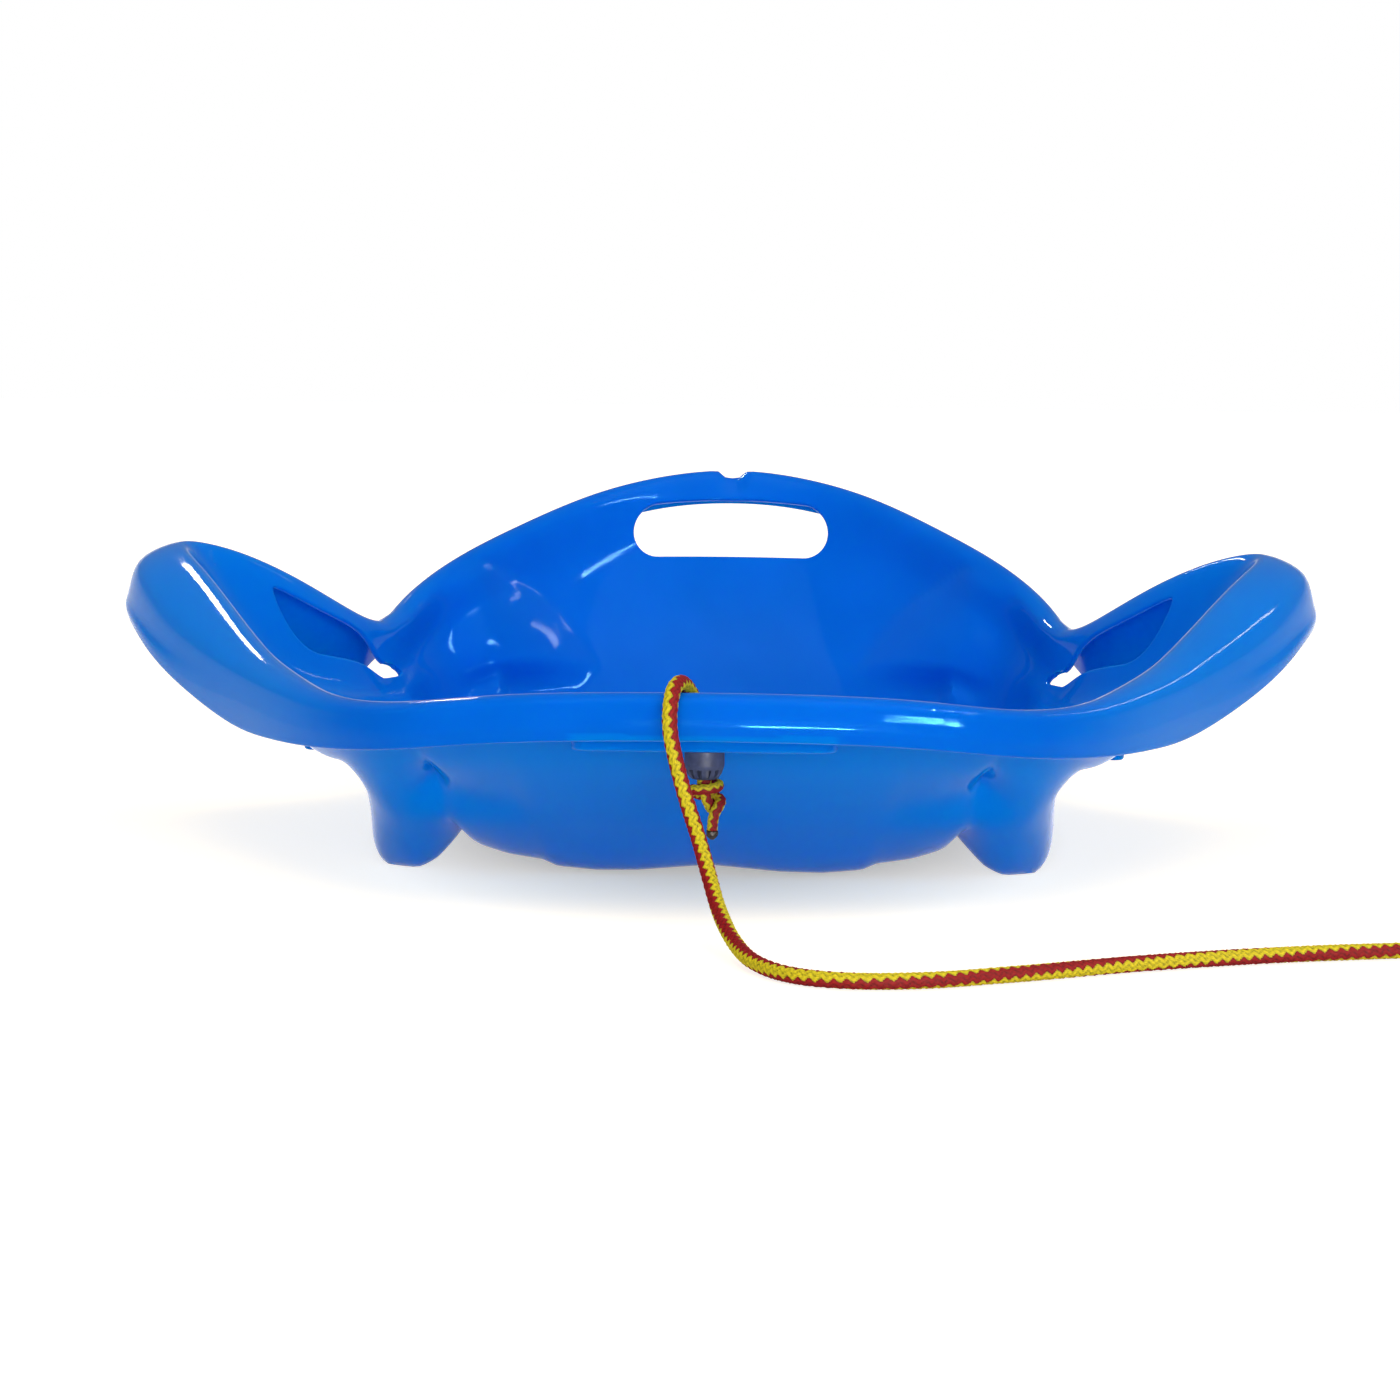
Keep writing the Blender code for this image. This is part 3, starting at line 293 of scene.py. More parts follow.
def surface(s, row):
    """Points of the sled's upper face at places s round it and rows out from the pan."""
    s = np.atleast_1d(np.asarray(s, float))
    row = np.atleast_1d(np.asarray(row, float))
    return through(key_rows(s), row)


def row_places():
    """Where the rings of the shell's mesh lie among the key rows."""
    places = [1.0]
    for gap, count in enumerate(ROW_STEPS):
        places += [1 + gap + (k + 1) / count for k in range(count)]
    return np.array(places)


def columns_round(per_side):
    """Places round the sled: fine over the pan's ribs at both ends, and even along its sides."""
    fine = []
    xs = [x for x, _ in UNDERSIDE[:-1]]
    for low, high in zip(xs, xs[1:]):
        count = max(2, int(math.ceil((high - low) / RIB_SPACING)))
        fine += [low + (high - low) * k / count for k in range(count)]
    fine.append(xs[-1])
    fine = np.array(fine)
    front = np.linspace(0, CORNER_STATION, 800)
    back = np.linspace(len(STATIONS) - 1, BACK_CORNER_STATION, 800)
    front_s = np.interp(fine, CURVE(front)[:, 0], front)
    back_s = np.interp(fine, CURVE(back)[:, 0], back)
    side = np.linspace(CORNER_STATION, BACK_CORNER_STATION, 1800)
    at = Line(*CURVE(side).T)
    rim = np.stack([at.rim_x, at.rim_y], -1)
    steps = np.diff(rim, axis=0)
    heading = np.unwrap(np.arctan2(steps[:, 1], steps[:, 0]))
    turns = np.abs(np.diff(heading, prepend=heading[0]))
    run = np.concatenate([[0], np.cumsum(np.linalg.norm(steps, axis=1) + TURN_SPACING * turns)])
    side_s = np.interp(np.linspace(0, run[-1], per_side + 1), run, side)
    return front_s, side_s, back_s


def border_position(i, j, columns, along, ring_count):
    """Where on the ring the pan's border node in column i and row j stands."""
    if j == 0:
        return i % ring_count
    if j == along - 1:
        return (ring_count // 2 - i) % ring_count
    if i == columns:
        return columns + j
    return (ring_count - columns - j) % ring_count


def pan_faces(points, columns, along, ring_count):
    """Fills the pan inside the first ring with straight lines between its two ends."""
    border = np.array(points[:ring_count])
    grid = np.zeros((2 * columns + 1, along), int)
    for j in range(along):
        nodes = [border_position(columns, k, columns, along, ring_count) for k in (0, j, along - 1)]
        front_y, here_y, back_y = border[nodes, 1]
        share = (here_y - front_y) / (back_y - front_y)
        for i in range(-columns, columns + 1):
            if j in (0, along - 1) or abs(i) == columns:
                grid[i + columns, j] = border_position(i, j, columns, along, ring_count)
                continue
            low = border[border_position(i, 0, columns, along, ring_count)]
            high = border[border_position(i, along - 1, columns, along, ring_count)]
            x, y = low[:2] * (1 - share) + high[:2] * share
            grid[i + columns, j] = len(points)
            points.append(np.array([x, y, WALL + float(underside(x))]))
    a, b, c, d = grid[:-1, :-1], grid[1:, :-1], grid[1:, 1:], grid[:-1, 1:]
    return np.stack([a, b, c, d], -1).reshape(-1, 4).tolist()


def inside(places, outline):
    """Which places lie within a closed outline of the plane."""
    x, y = places[:, 0][:, None], places[:, 1][:, None]
    ax, ay = outline[:, 0], outline[:, 1]
    bx, by = np.roll(ax, -1), np.roll(ay, -1)
    spans = (ay > y) != (by > y)
    rise = np.where(by == ay, 1.0, by - ay)
    crossing = spans & (x < (bx - ax) * (y - ay) / rise + ax)
    return crossing.sum(1) % 2 == 1


def offset_outline(outline, distance):
    """A closed outline of the plane moved outwards by a distance."""
    ahead, behind = np.roll(outline, -1, 0), np.roll(outline, 1, 0)
    tangent = ahead - behind
    tangent /= np.linalg.norm(tangent, axis=1, keepdims=True)
    way = np.stack([tangent[:, 1], -tangent[:, 0]], -1)
    area = (outline[:, 0] * ahead[:, 1] - ahead[:, 0] * outline[:, 1]).sum()
    return outline + way * (distance if area > 0 else -distance)


def resampled(outline, count):
    """A closed outline's points set at even distances."""
    closed = np.concatenate([outline, outline[:1]])
    run = np.concatenate([[0], np.cumsum(np.linalg.norm(np.diff(closed, axis=0), axis=1))])
    even = np.linspace(0, run[-1], count, endpoint=False)
    return np.stack([np.interp(even, run, closed[:, k]) for k in range(closed.shape[1])], -1)


def local_scale(s, row):
    """Metres for one station round and for one row out, at a place of the surface."""
    step = 0.02
    along = np.linalg.norm(surface(s + step, row) - surface(s - step, row)) / (2 * step)
    out = np.linalg.norm(surface(s, row + step) - surface(s, row - step)) / (2 * step)
    return np.array([along, out])


def holed_patch(outline, ring_s, rows, grid, points):
    """Fills a block of the sheet's grid round a hole; gives the block, its faces and the hole's loop."""
    scale = local_scale(*outline.mean(0))
    margin = HOLE_MARGIN / scale
    low, high = outline.min(0) - margin, outline.max(0) + margin
    k0, k1 = np.searchsorted(ring_s, low[0]) - 1, np.searchsorted(ring_s, high[0])
    r0, r1 = np.searchsorted(rows, low[1]) - 1, np.searchsorted(rows, high[1])
    rim = [(r0, k) for k in range(k0, k1)] + [(r, k1) for r in range(r0, r1)]
    rim += [(r1, k) for k in range(k1, k0, -1)] + [(r, k0) for r in range(r1, r0, -1)]
    flat = np.array([(ring_s[k], rows[r]) for r, k in rim]) * scale
    edge = outline * scale
    guides = [offset_outline(edge, distance) for distance in HOLE_GUIDES]
    inner = [(r, k) for r in range(r0 + 1, r1) for k in range(k0 + 1, k1)]
    free = np.array([(ring_s[k], rows[r]) for r, k in inner]) * scale
    free = free[~inside(free, offset_outline(edge, HOLE_CLEAR))]
    plane = np.concatenate([flat, edge, *guides, free])
    loops = []
    for start, count in ((0, len(flat)), (len(flat), len(edge))):
        loops += [(start + k, start + (k + 1) % count) for k in range(count)]
    found = delaunay_2d_cdt([Vector(p) for p in plane], loops, [], 0, 1e-7, True)
    places, triangles, origins = found[0], found[2], found[3]
    number = {}
    fresh = []
    for index, source in enumerate(origins):
        rims = [k for k in source if k < len(flat)]
        if rims:
            r, k = rim[rims[0]]
            number[index] = grid[r, k]
            continue
        number[index] = len(points) + len(fresh)
        fresh.append(np.array(places[index]) / scale)
    fresh = np.array(fresh)
    points += list(surface(fresh[:, 0], fresh[:, 1]))
    centres = np.array([np.mean([places[i] for i in triangle], axis=0) for triangle in triangles])
    kept = ~inside(centres, edge)
    faces = [[number[i] for i in reversed(triangle)] for triangle, keep in zip(triangles, kept) if keep]
    at_edge = {}
    for index, source in enumerate(origins):
        for k in source:
            if len(flat) <= k < len(flat) + len(edge):
                at_edge[k - len(flat)] = number[index]
    loop = [at_edge[k] for k in range(len(edge))]
    return (r0, r1, k0, k1), faces, loop


def place_of(target, start):
    """The place (s, row) of the surface that has a given x and z, found from a near one."""
    place = np.array(start, float)
    for _ in range(12):
        here = surface(place[0], place[1])[0][[0, 2]]
        step = 1e-4
        by_s = (surface(place[0] + step, place[1])[0][[0, 2]] - here) / step
        by_row = (surface(place[0], place[1] + step)[0][[0, 2]] - here) / step
        place += np.clip(np.linalg.solve(np.stack([by_s, by_row], 1), target - here), -0.3, 0.3)
    return place


def slot_places():
    """The carry slot's outline on the backrest: round ends, a flat bottom and a slightly arched top."""
    radius = SLOT_HEIGHT / 2
    flat = SLOT_WIDTH / 2 - radius

    def arched(x, z):
        return x, z + (SLOT_ARCH * (1 - (2 * x / SLOT_WIDTH) ** 2) if z > 0 else 0.0)

    outline = []
    for side, turns in ((1, np.linspace(-90, 90, 24)), (-1, np.linspace(90, 270, 24))):
        for turn in np.radians(turns):
            outline.append(arched(side * flat + radius * math.cos(turn), radius * math.sin(turn)))
        if side > 0:
            outline += [arched(x, radius) for x in np.linspace(flat, -flat, 22)[1:-1]]
    outline = offset_outline(resampled(np.array(outline), 150), EDGE_BULGE)
    middle = len(STATIONS) - 1
    middle_z = SLOT_BOTTOM + SLOT_HEIGHT / 2
    near = middle - outline[:, 0] / STATIONS[-2].rim_x
    return np.array([place_of((x, middle_z + z), (at, SLOT_ROW)) for (x, z), at in zip(outline, near)])


def hand_hole_places(side):
    """The hand hole's outline on the back wall of one wing."""
    outline = closed_spline(HAND_HOLE)(np.linspace(0, len(HAND_HOLE), 400, endpoint=False))
    outline[:, 1] += RIM_FOOT_ROW
    scale = local_scale(*outline.mean(0))
    outline = offset_outline(resampled(outline * scale, 110), EDGE_BULGE) / scale
    if side < 0:
        outline[:, 0] = 2.0 * (len(STATIONS) - 1) - outline[:, 0]
    return outline


def vertex_normals(points, triangles, passes=0):
    """Normals of a sheet at its points, evened out over neighbours for some passes."""
    a, b, c = (points[triangles[:, k]] for k in range(3))
    across = np.cross(b - a, c - a)
    normals = np.zeros_like(points)
    for k in range(3):
        np.add.at(normals, triangles[:, k], across)
    normals /= np.linalg.norm(normals, axis=1, keepdims=True)
    ends = np.concatenate([triangles[:, [0, 1]], triangles[:, [1, 2]], triangles[:, [2, 0]]])
    for _ in range(passes):
        total = normals * 2.0
        np.add.at(total, ends[:, 0], normals[ends[:, 1]])
        np.add.at(total, ends[:, 1], normals[ends[:, 0]])
        normals = total / np.linalg.norm(total, axis=1, keepdims=True)
    return normals


def split_quads(faces):
    """The faces as triangles."""
    triangles = []
    for face in faces:
        triangles.append(face[:3])
        if len(face) == 4:
            triangles.append([face[0], face[2], face[3]])
    return np.array(triangles)


def round_the_edge(points, faces, upper, lower, outward):
    """Joins the two faces of the wall along an edge with a rounded strip that bulges outwards."""
    top, bottom = points[upper], points[lower]
    middle, half = (top + bottom) / 2, (top - bottom) / 2
    loops = [list(upper)]
    fresh = []
    for turn in np.radians(EDGE_TURNS):
        loops.append([len(points) + len(fresh) + k for k in range(len(upper))])
        fresh += list(middle + half * math.cos(turn) + outward * (EDGE_BULGE * math.sin(turn)))
    loops.append(list(lower))
    for one, other in zip(loops, loops[1:]):
        for k in range(len(upper)):
            n = (k + 1) % len(upper)
            faces.append([one[k], one[n], other[n], other[k]])
    return np.concatenate([points, np.array(fresh)])


def notch_dip(points):
    """The shallow dip in the middle of the backrest's rim."""
    rim = STATIONS[-1]
    across = NOTCH_WIDTH / 2 - np.abs(points[:, 0])
    height = points[:, 2] - (rim.rim_z - NOTCH_REACH)
    depth = NOTCH_DEPTH * eased_step(across, 0, NOTCH_SIDE * NOTCH_WIDTH) * eased_step(height, 0, NOTCH_FADE)
    sunk = points.copy()
    sunk[:, 2] -= depth * np.interp(points[:, 1], BACKREST_Y, (0.0, 1.0))
    return sunk


# Hip pads in the lower corners of the backrest: a pad's upper edge and inner edge, as a corner
# (distance from the middle, height) with the way across each edge into the pad
PAD_TOP_EDGE = ((0.105, 0.099), (0.584, -0.812))
PAD_INNER_EDGE = ((0.101, 0.099), (0.8, -0.6))
PAD_SLOPE = 0.34
PAD_STEP = 0.0016
PAD_STEP_FADE = (-0.0005, 0.0025)
PAD_SIDE_SLOPE = 1.05 * PAD_SLOPE
PAD_SIDE_STEP = 0.4 * PAD_STEP
PAD_MOST = 0.0105
PAD_BLENDS = (0.0006, 0.003)
PAD_OUTER_FADE = (0.138, 0.166)
PAD_FRONT_FADE = (0.165, 0.195)
PAD_LOW_FADE = (0.052, 0.064)
PAD_RIM_FADE = (-0.016, -0.005)


def soft_least(a, b, blend):
    """The smaller of two heights, with the crossing rounded off."""
    return (a + b - np.sqrt((a - b) ** 2 + blend**2)) / 2


def eased_step(value, low, high):
    """Rises from 0 to 1 between two values, with soft ends."""
    share = np.clip((value - low) / (high - low), 0, 1)
    return share * share * (3 - 2 * share)


def hip_pads(points, normals):
    """Raises the two pads that hold the rider's hips, along the surface's own normals."""
    x, y, z = np.abs(points[:, 0]), points[:, 1], points[:, 2]
    past = []
    for (corner_x, corner_z), (way_x, way_z) in (PAD_TOP_EDGE, PAD_INNER_EDGE):
        past.append((x - corner_x) * way_x + (z - corner_z) * way_z)
    top = PAD_SLOPE * past[0] + PAD_STEP * eased_step(past[0], *PAD_STEP_FADE)
    side = PAD_SIDE_SLOPE * past[1] + PAD_SIDE_STEP
    corner = soft_least(top, side, PAD_BLENDS[0])
    height = np.maximum(soft_least(corner, PAD_MOST, PAD_BLENDS[1]), 0)
    height *= 1 - eased_step(x, *PAD_OUTER_FADE)
    height *= eased_step(y, *PAD_FRONT_FADE) * eased_step(z, *PAD_LOW_FADE)
    rim_x, rim_z = zip(*((line.rim_x, line.rim_z) for line in STATIONS[:BACK_CORNER_STATION:-1]))
    height *= 1 - eased_step(z - np.interp(x, rim_x, rim_z), *PAD_RIM_FADE)
    return points + normals * height[:, None]


def shell_geometry(per_side):
    """The sled's upper face as points and faces, with its holes' loops and its free edge."""
    front_s, side_s, back_s = columns_round(per_side)
    half = np.concatenate([front_s, side_s, back_s[::-1]])
    total = 2.0 * (len(STATIONS) - 1)
    ring_s = np.concatenate([half, total - half[-2:0:-1]])
    rows = row_places()
    ring_count = len(ring_s)
    grid = np.arange(len(rows) * ring_count).reshape(len(rows), ring_count)
    s, row = np.meshgrid(ring_s, rows)
    points = list(surface(s.ravel(), row.ravel()))
    # The first ring is the pan's border, so the pan's own points can follow all the rings.
    pan = pan_faces(points, len(front_s), len(side_s), ring_count)
    skipped = np.zeros((len(rows), ring_count), bool)
    patches, loops = [], []
    for outline in (slot_places(), hand_hole_places(1), hand_hole_places(-1)):
        (r0, r1, k0, k1), faces, loop = holed_patch(outline, ring_s, rows, grid, points)
        skipped[r0:r1, k0:k1] = True
        patches += faces
        loops.append(loop)
    faces = pan + patches
    for r in range(len(rows) - 1):
        for k in range(ring_count):
            if not skipped[r, k]:
                n = (k + 1) % ring_count
                faces.append([grid[r, k], grid[r + 1, k], grid[r + 1, n], grid[r, n]])
    return notch_dip(np.array(points)), faces, loops, list(grid[-1])


def outward_of(points, loop, normals, towards):
    """The direction across a loop of the sheet that points to its open side."""
    ring = points[loop]
    tangent = np.roll(ring, -1, 0) - np.roll(ring, 1, 0)
    tangent /= np.linalg.norm(tangent, axis=1, keepdims=True)
    way = np.cross(normals[loop], tangent)
    way /= np.linalg.norm(way, axis=1, keepdims=True)
    wrong = ((towards - ring) * way).sum(1) < 0
    way[wrong] *= -1
    return way


def shell_solid(per_side):
    """The whole moulded wall as one closed mesh, with rounded holes and rounded free edge."""
    upper, faces, loops, edge = shell_geometry(per_side)
    used = np.unique(np.concatenate([np.array(face) for face in faces]))
    renumber = np.full(len(upper), -1)
    renumber[used] = np.arange(len(used))
    upper = upper[used]
    faces = [[int(renumber[i]) for i in face] for face in faces]
    loops = [renumber[loop] for loop in loops]
    edge = renumber[edge]
    triangles = split_quads(faces)
    upper = hip_pads(upper, vertex_normals(upper, triangles, 4))
    normals = vertex_normals(upper, triangles)
    eased = vertex_normals(upper, triangles, 6)
    lower = upper - eased * WALL
    rest = np.abs(upper[:, 2] - WALL) < 1e-6
    lower[rest, 2] = 0.0
    count = len(upper)
    points = np.concatenate([upper, lower])
    every = [list(face) for face in faces] + [[count + i for i in reversed(face)] for face in faces]
    for loop in loops:
        middle = upper[loop].mean(0)
        way = outward_of(upper, loop, normals, middle)
        points = round_the_edge(points, every, loop, loop + count, way)
    down = np.tile([0.0, 0.0, -1.0], (len(edge), 1))
    points = round_the_edge(points, every, edge, edge + count, down)
    is_lower = np.zeros(len(points))
    is_lower[count:2 * count] = 1.0
    return points, every, is_lower


def mesh_object(name, points, faces, material=None):
    """A smooth mesh object with its faces turned outwards."""
    mesh = bpy.data.meshes.new(name)
    mesh.from_pydata([tuple(p) for p in np.asarray(points, float)], [], faces)
    work = bmesh.new()
    work.from_mesh(mesh)
    bmesh.ops.recalc_face_normals(work, faces=work.faces)
    work.to_mesh(mesh)
    work.free()
    mesh.polygons.foreach_set("use_smooth", [True] * len(mesh.polygons))
    if material:
        mesh.materials.append(material)
    piece = bpy.data.objects.new(name, mesh)
    bpy.context.scene.collection.objects.link(piece)
    return piece


def mark_sharp(mesh, degrees):
    """Shades a mesh smooth, apart from its edges that bend by more than an angle."""
    work = bmesh.new()
    work.from_mesh(mesh)
    limit = math.radians(degrees)
    for face in work.faces:
        face.smooth = True
    for edge in work.edges:
        edge.smooth = len(edge.link_faces) == 2 and edge.calc_face_angle() < limit
    work.to_mesh(mesh)
    work.free()


def tube_faces(rings, around):
    """The faces of a closed tube: both ends, then a band of quads from each ring to the next."""
    index = np.arange(rings * around).reshape(rings, around)
    turned = np.roll(index, -1, axis=1)
    quads = np.stack([index[:-1], turned[:-1], turned[1:], index[1:]], -1).reshape(-1, 4)
    return [index[0].tolist(), index[-1].tolist()] + quads.tolist()


def layered(name, layers):
    """A closed solid through layers: outlines of as many points each, with both ends filled."""
    points = [p for layer in layers for p in layer]
    return mesh_object(name, points, tube_faces(len(layers), len(layers[0])))


def rounded_rectangle(half_x, half_y, radius, steps=10):
    """Corner arcs of a rectangle, as (x, y) pairs going round it."""
    points = []
    for corner, (sx, sy) in enumerate(((1, 1), (-1, 1), (-1, -1), (1, -1))):
        for k in range(steps + 1):
            turn = math.pi / 2 * (corner + k / steps)
            x = sx * (half_x - radius) + radius * math.cos(turn)
            y = sy * (half_y - radius) + radius * math.sin(turn)
            points.append((x, y))
    return points


def shaped_by(piece, changes):
    """Joins other solids to a piece or cuts them out of it, and keeps the result as its mesh."""
    for other, operation in changes:
        step = piece.modifiers.new(other.name, "BOOLEAN")
        step.operation = operation
        step.solver = "MANIFOLD"
        step.object = other
    depsgraph = bpy.context.evaluated_depsgraph_get()
    shaped = bpy.data.meshes.new_from_object(piece.evaluated_get(depsgraph))
    if len(shaped.polygons) < 100:
        raise RuntimeError(piece.name + " was lost when its solids were joined")
    piece.modifiers.clear()
    piece.data = shaped
    for other, _ in changes:
        bpy.data.objects.remove(other)
    return piece


def tray_block(name, inset, low, high, edge):
    """The tray under the nose deck, or the pocket inside it, with rounded lower edges."""
    centre_y = (TRAY_FRONT + TRAY_BACK) / 2
    half_x = TRAY_HALF_WIDTH - inset
    half_y = (TRAY_BACK - TRAY_FRONT) / 2 - inset
    layers = []
    for turn in np.radians(np.linspace(0, 90, 6)):
        back = edge * (1 - math.sin(turn))
        z = low + edge * (1 - math.cos(turn))
        outline = rounded_rectangle(half_x - back, half_y - back, TRAY_CORNER - inset - back * 0.5)
        layers.append([(x, y + centre_y, z) for x, y in outline])
    layers.append([(x, y, high) for x, y, _ in layers[-1]])
    return layered(name, layers)


def round_layers(x, y, rings, sides):
    """Layers of a turned solid about an upright axis, from its radii and heights."""
    layers = []
    for radius, z in rings:
        turns = [2 * math.pi * k / sides for k in range(sides)]
        layers.append([(x + radius * math.cos(t), y + radius * math.sin(t), z) for t in turns])
    return layers


def mark_painted_through_light(mesh, points, is_lower):
    """Gives each point the number "underside", its share of painted through-wall light: 1 on the wall's
    lower face, down to 0 on the seat.
    """
    finder = KDTree(len(points))
    for k, point in enumerate(points):
        finder.insert(point, k)
    finder.balance()
    numbers = []
    for vertex in mesh.vertices:
        x, y, z = vertex.co
        in_tray = abs(x) < TRAY_HALF_WIDTH + NEAR and y < TRAY_BACK + NEAR
        if in_tray and TRAY_BOTTOM - NEAR < z < TRAY_TOP:
            numbers.append(TRAY_PAINTED_LIGHT)
            continue
        on_wing = WING_PAINTED_LIGHT * min(max((abs(x) - WING_PAINTED_LIGHT_FROM) / WING_PAINTED_LIGHT_FADE, 0.0), 1.0)
        numbers.append(max(is_lower[finder.find(vertex.co)[1]], on_wing))
    mesh.attributes.new("underside", "FLOAT", "POINT").data.foreach_set("value", numbers)


def build_shell_piece(per_side, material):
    """The moulded shell with its tray, pocket, bush hole and lugs, and the shares of its painted
    through-wall light marked.
    """
    points, faces, is_lower = shell_solid(per_side)
    shell = mesh_object("moulded_shell", points, faces, material)
    changes = [(tray_block("tray", 0.0, TRAY_BOTTOM, TRAY_TOP, TRAY_EDGE), "UNION")]
    lug_rings = [(LUG_RADIUS, LUG_TOP)]
    for turn in np.radians(np.linspace(0, 90, 6)):
        radius = LUG_RADIUS - TRAY_EDGE * (1 - math.cos(turn))
        lug_rings.append((radius, LUG_BOTTOM + TRAY_EDGE * (1 - math.sin(turn))))
    for side in (-1, 1):
        changes.append((layered("lug", round_layers(side * LUG_X, LUG_Y, lug_rings, 48)), "UNION"))
    pocket = tray_block("tray pocket", POCKET_WALL, POCKET_FLOOR, TRAY_TOP + POCKET_CUT, POCKET_EDGE)
    changes.append((pocket, "DIFFERENCE"))
    hole = [(BUSH_HOLE_RADIUS, TRAY_BOTTOM - POCKET_CUT), (BUSH_HOLE_RADIUS, POCKET_FLOOR + POCKET_CUT)]
    changes.append((layered("bush hole", round_layers(0, BUSH_Y, hole, 96)), "DIFFERENCE"))
    shaped_by(shell, changes)
    mark_sharp(shell.data, 38)
    mark_painted_through_light(shell.data, points, is_lower)
    return shell


# Rope bush
FIT_GAP = 0.0003
BUSH_CAP_RADIUS = 0.0096
BUSH_CAP_HEIGHT = 0.0018
BUSH_CUP_RADIUS = 0.0090
BUSH_CUP_HEIGHT = 0.0080
BUSH_TIP_RADIUS = 0.0052
BUSH_TIP_HEIGHT = 0.0050
BUSH_BORE_RADIUS = 0.0039
BUSH_CHAMFER = 0.0008
BUSH_SHOULDER = (0.0004, 0.0012)
# Steps out from the tip's edge and up from its face, on the way to the cup
BUSH_TAPER = ((0.0012, 0.0007), (0.0025, 0.0025))
BUSH_SIDES = 144
WINDOW_INNER_RADIUS = BUSH_BORE_RADIUS + 0.0011
WINDOW_OUTER_RADIUS = BUSH_CUP_RADIUS + 0.003
WINDOW_HALF_WIDTHS = (0.0009, 0.00155)
WINDOW_ABOVE_TIP = 0.0009
WINDOW_BELOW_CUP = 0.0003


def bush_heights():
    """Heights of the bush's cap, its cup's top, the start of its taper and its bottom."""
    cup_top = TRAY_BOTTOM - FIT_GAP
    taper = cup_top - BUSH_CUP_HEIGHT
    return POCKET_FLOOR + FIT_GAP, cup_top, taper, taper - BUSH_TIP_HEIGHT


def softened(profile, radius=0.00035, steps=3):
    """A closed profile with every corner cut back into a small arc."""
    corners = np.array(profile)
    points = []
    for k, corner in enumerate(corners):
        before, after = corners[k - 1], corners[(k + 1) % len(corners)]
        to_before, to_after = before - corner, after - corner
        reach = min(radius, 0.45 * np.linalg.norm(to_before), 0.45 * np.linalg.norm(to_after))
        a = corner + to_before / np.linalg.norm(to_before) * reach
        b = corner + to_after / np.linalg.norm(to_after) * reach
        for u in np.linspace(0, 1, steps + 1):
            points.append((1 - u) ** 2 * a + 2 * u * (1 - u) * corner + u * u * b)
    return points


def bush_profile():
    """The bush's section as radii and heights: from the tip up its outside and over the cap to the bore."""
    cap, cup_top, taper, bottom = bush_heights()
    neck = BUSH_HOLE_RADIUS - FIT_GAP
    top = cap + BUSH_CAP_HEIGHT
    return softened((
        (BUSH_BORE_RADIUS, bottom),
        (BUSH_TIP_RADIUS, bottom),
        *((BUSH_TIP_RADIUS + out, bottom + up) for out, up in BUSH_TAPER),
        (BUSH_CUP_RADIUS - BUSH_SHOULDER[0], taper),
        (BUSH_CUP_RADIUS, taper + BUSH_SHOULDER[1]),
        (BUSH_CUP_RADIUS, cup_top),
        (neck, cup_top),
        (neck, cap),
        (BUSH_CAP_RADIUS, cap),
        (BUSH_CAP_RADIUS, cap + 0.5 * BUSH_CAP_HEIGHT),
        (BUSH_CAP_RADIUS - BUSH_CHAMFER, top),
        (BUSH_BORE_RADIUS + BUSH_CHAMFER, top),
        (BUSH_BORE_RADIUS, top - BUSH_CHAMFER),
    ))


def bush_window(turn):
    """A wedge that cuts one window, a little narrower at its top and its bottom."""
    _, _, taper, bottom = bush_heights()
    low, high = bottom + WINDOW_ABOVE_TIP, taper - WINDOW_BELOW_CUP
    out = np.array([math.cos(turn), math.sin(turn), 0])
    aside = np.array([-out[1], out[0], 0])
    inner, outer = WINDOW_INNER_RADIUS, WINDOW_OUTER_RADIUS
    layers = []
    for z, narrow in ((low, 0.62), (low + 0.0003, 0.7), (high - 0.0005, 1.0), (high, 0.86)):
        half_in, half_out = (half * narrow for half in WINDOW_HALF_WIDTHS)
        corners = ((inner, -half_in), (outer, -half_out), (outer, half_out), (inner, half_in))
        layers.append([out * r + aside * w + np.array([0, BUSH_Y, z]) for r, w in corners])
    return layered("bush window", layers)


def build_bush_piece(windows, material):
    """The bush as its profile turned round the bore, with its windows cut out."""
    profile = bush_profile()
    points = []
    for turn in np.arange(BUSH_SIDES) * 2 * math.pi / BUSH_SIDES:
        points += [(r * math.cos(turn), BUSH_Y + r * math.sin(turn), z) for r, z in profile]
    index = np.arange(len(points)).reshape(BUSH_SIDES, len(profile))
    beside, above = np.roll(index, -1, axis=0), np.roll(index, -1, axis=1)
    faces = np.stack([index, beside, np.roll(beside, -1, axis=1), above], -1).reshape(-1, 4).tolist()
    bush = mesh_object("bush_cup", points, faces, material)
    turns = [2 * math.pi * (k + 0.5) / windows for k in range(windows)]
    shaped_by(bush, [(bush_window(turn), "DIFFERENCE") for turn in turns])
    mark_sharp(bush.data, 34)
    return bush


# Rope, knots and strap
ROPE_RADIUS = 0.0035
KNOT_STRAND = 0.0025
ROPE_ON_SNOW = ROPE_RADIUS + 0.0001
TIP_LENGTH = 0.0040
TIP_RINGS = 15
TIP_SIDES = 40
CORD_SIDES = 28
KNOT_SIDES = 32
KNOT_STEP = 0.00036
KNOT_DRAWN_IN = 0.0064
KNOT_TWIST = 2.5
KNOT_START_TURN = 0.1
COIL_X = 0.368
COIL_Y = -0.3565
COIL_RADIUS = 0.0455
COIL_PITCH = 0.0075
COIL_REVERSE_AT = 1.75
COIL_CLIMB_TURNS = 0.5
COIL_TURNS = 3.25
COIL_LOW_Z = 0.0051
COIL_LAYER = 0.0075
POINTS_PER_TURN = 24
TIE_ANGLE = -45.0
TIE_WIDTH = 0.008
TIE_THICKNESS = 0.0011
TIE_ROOM = 0.0006
TIE_BULGE = 0.0001
TIE_POINTS = 120
TIE_LAP = 26
TIE_LIFT_OVER = 8

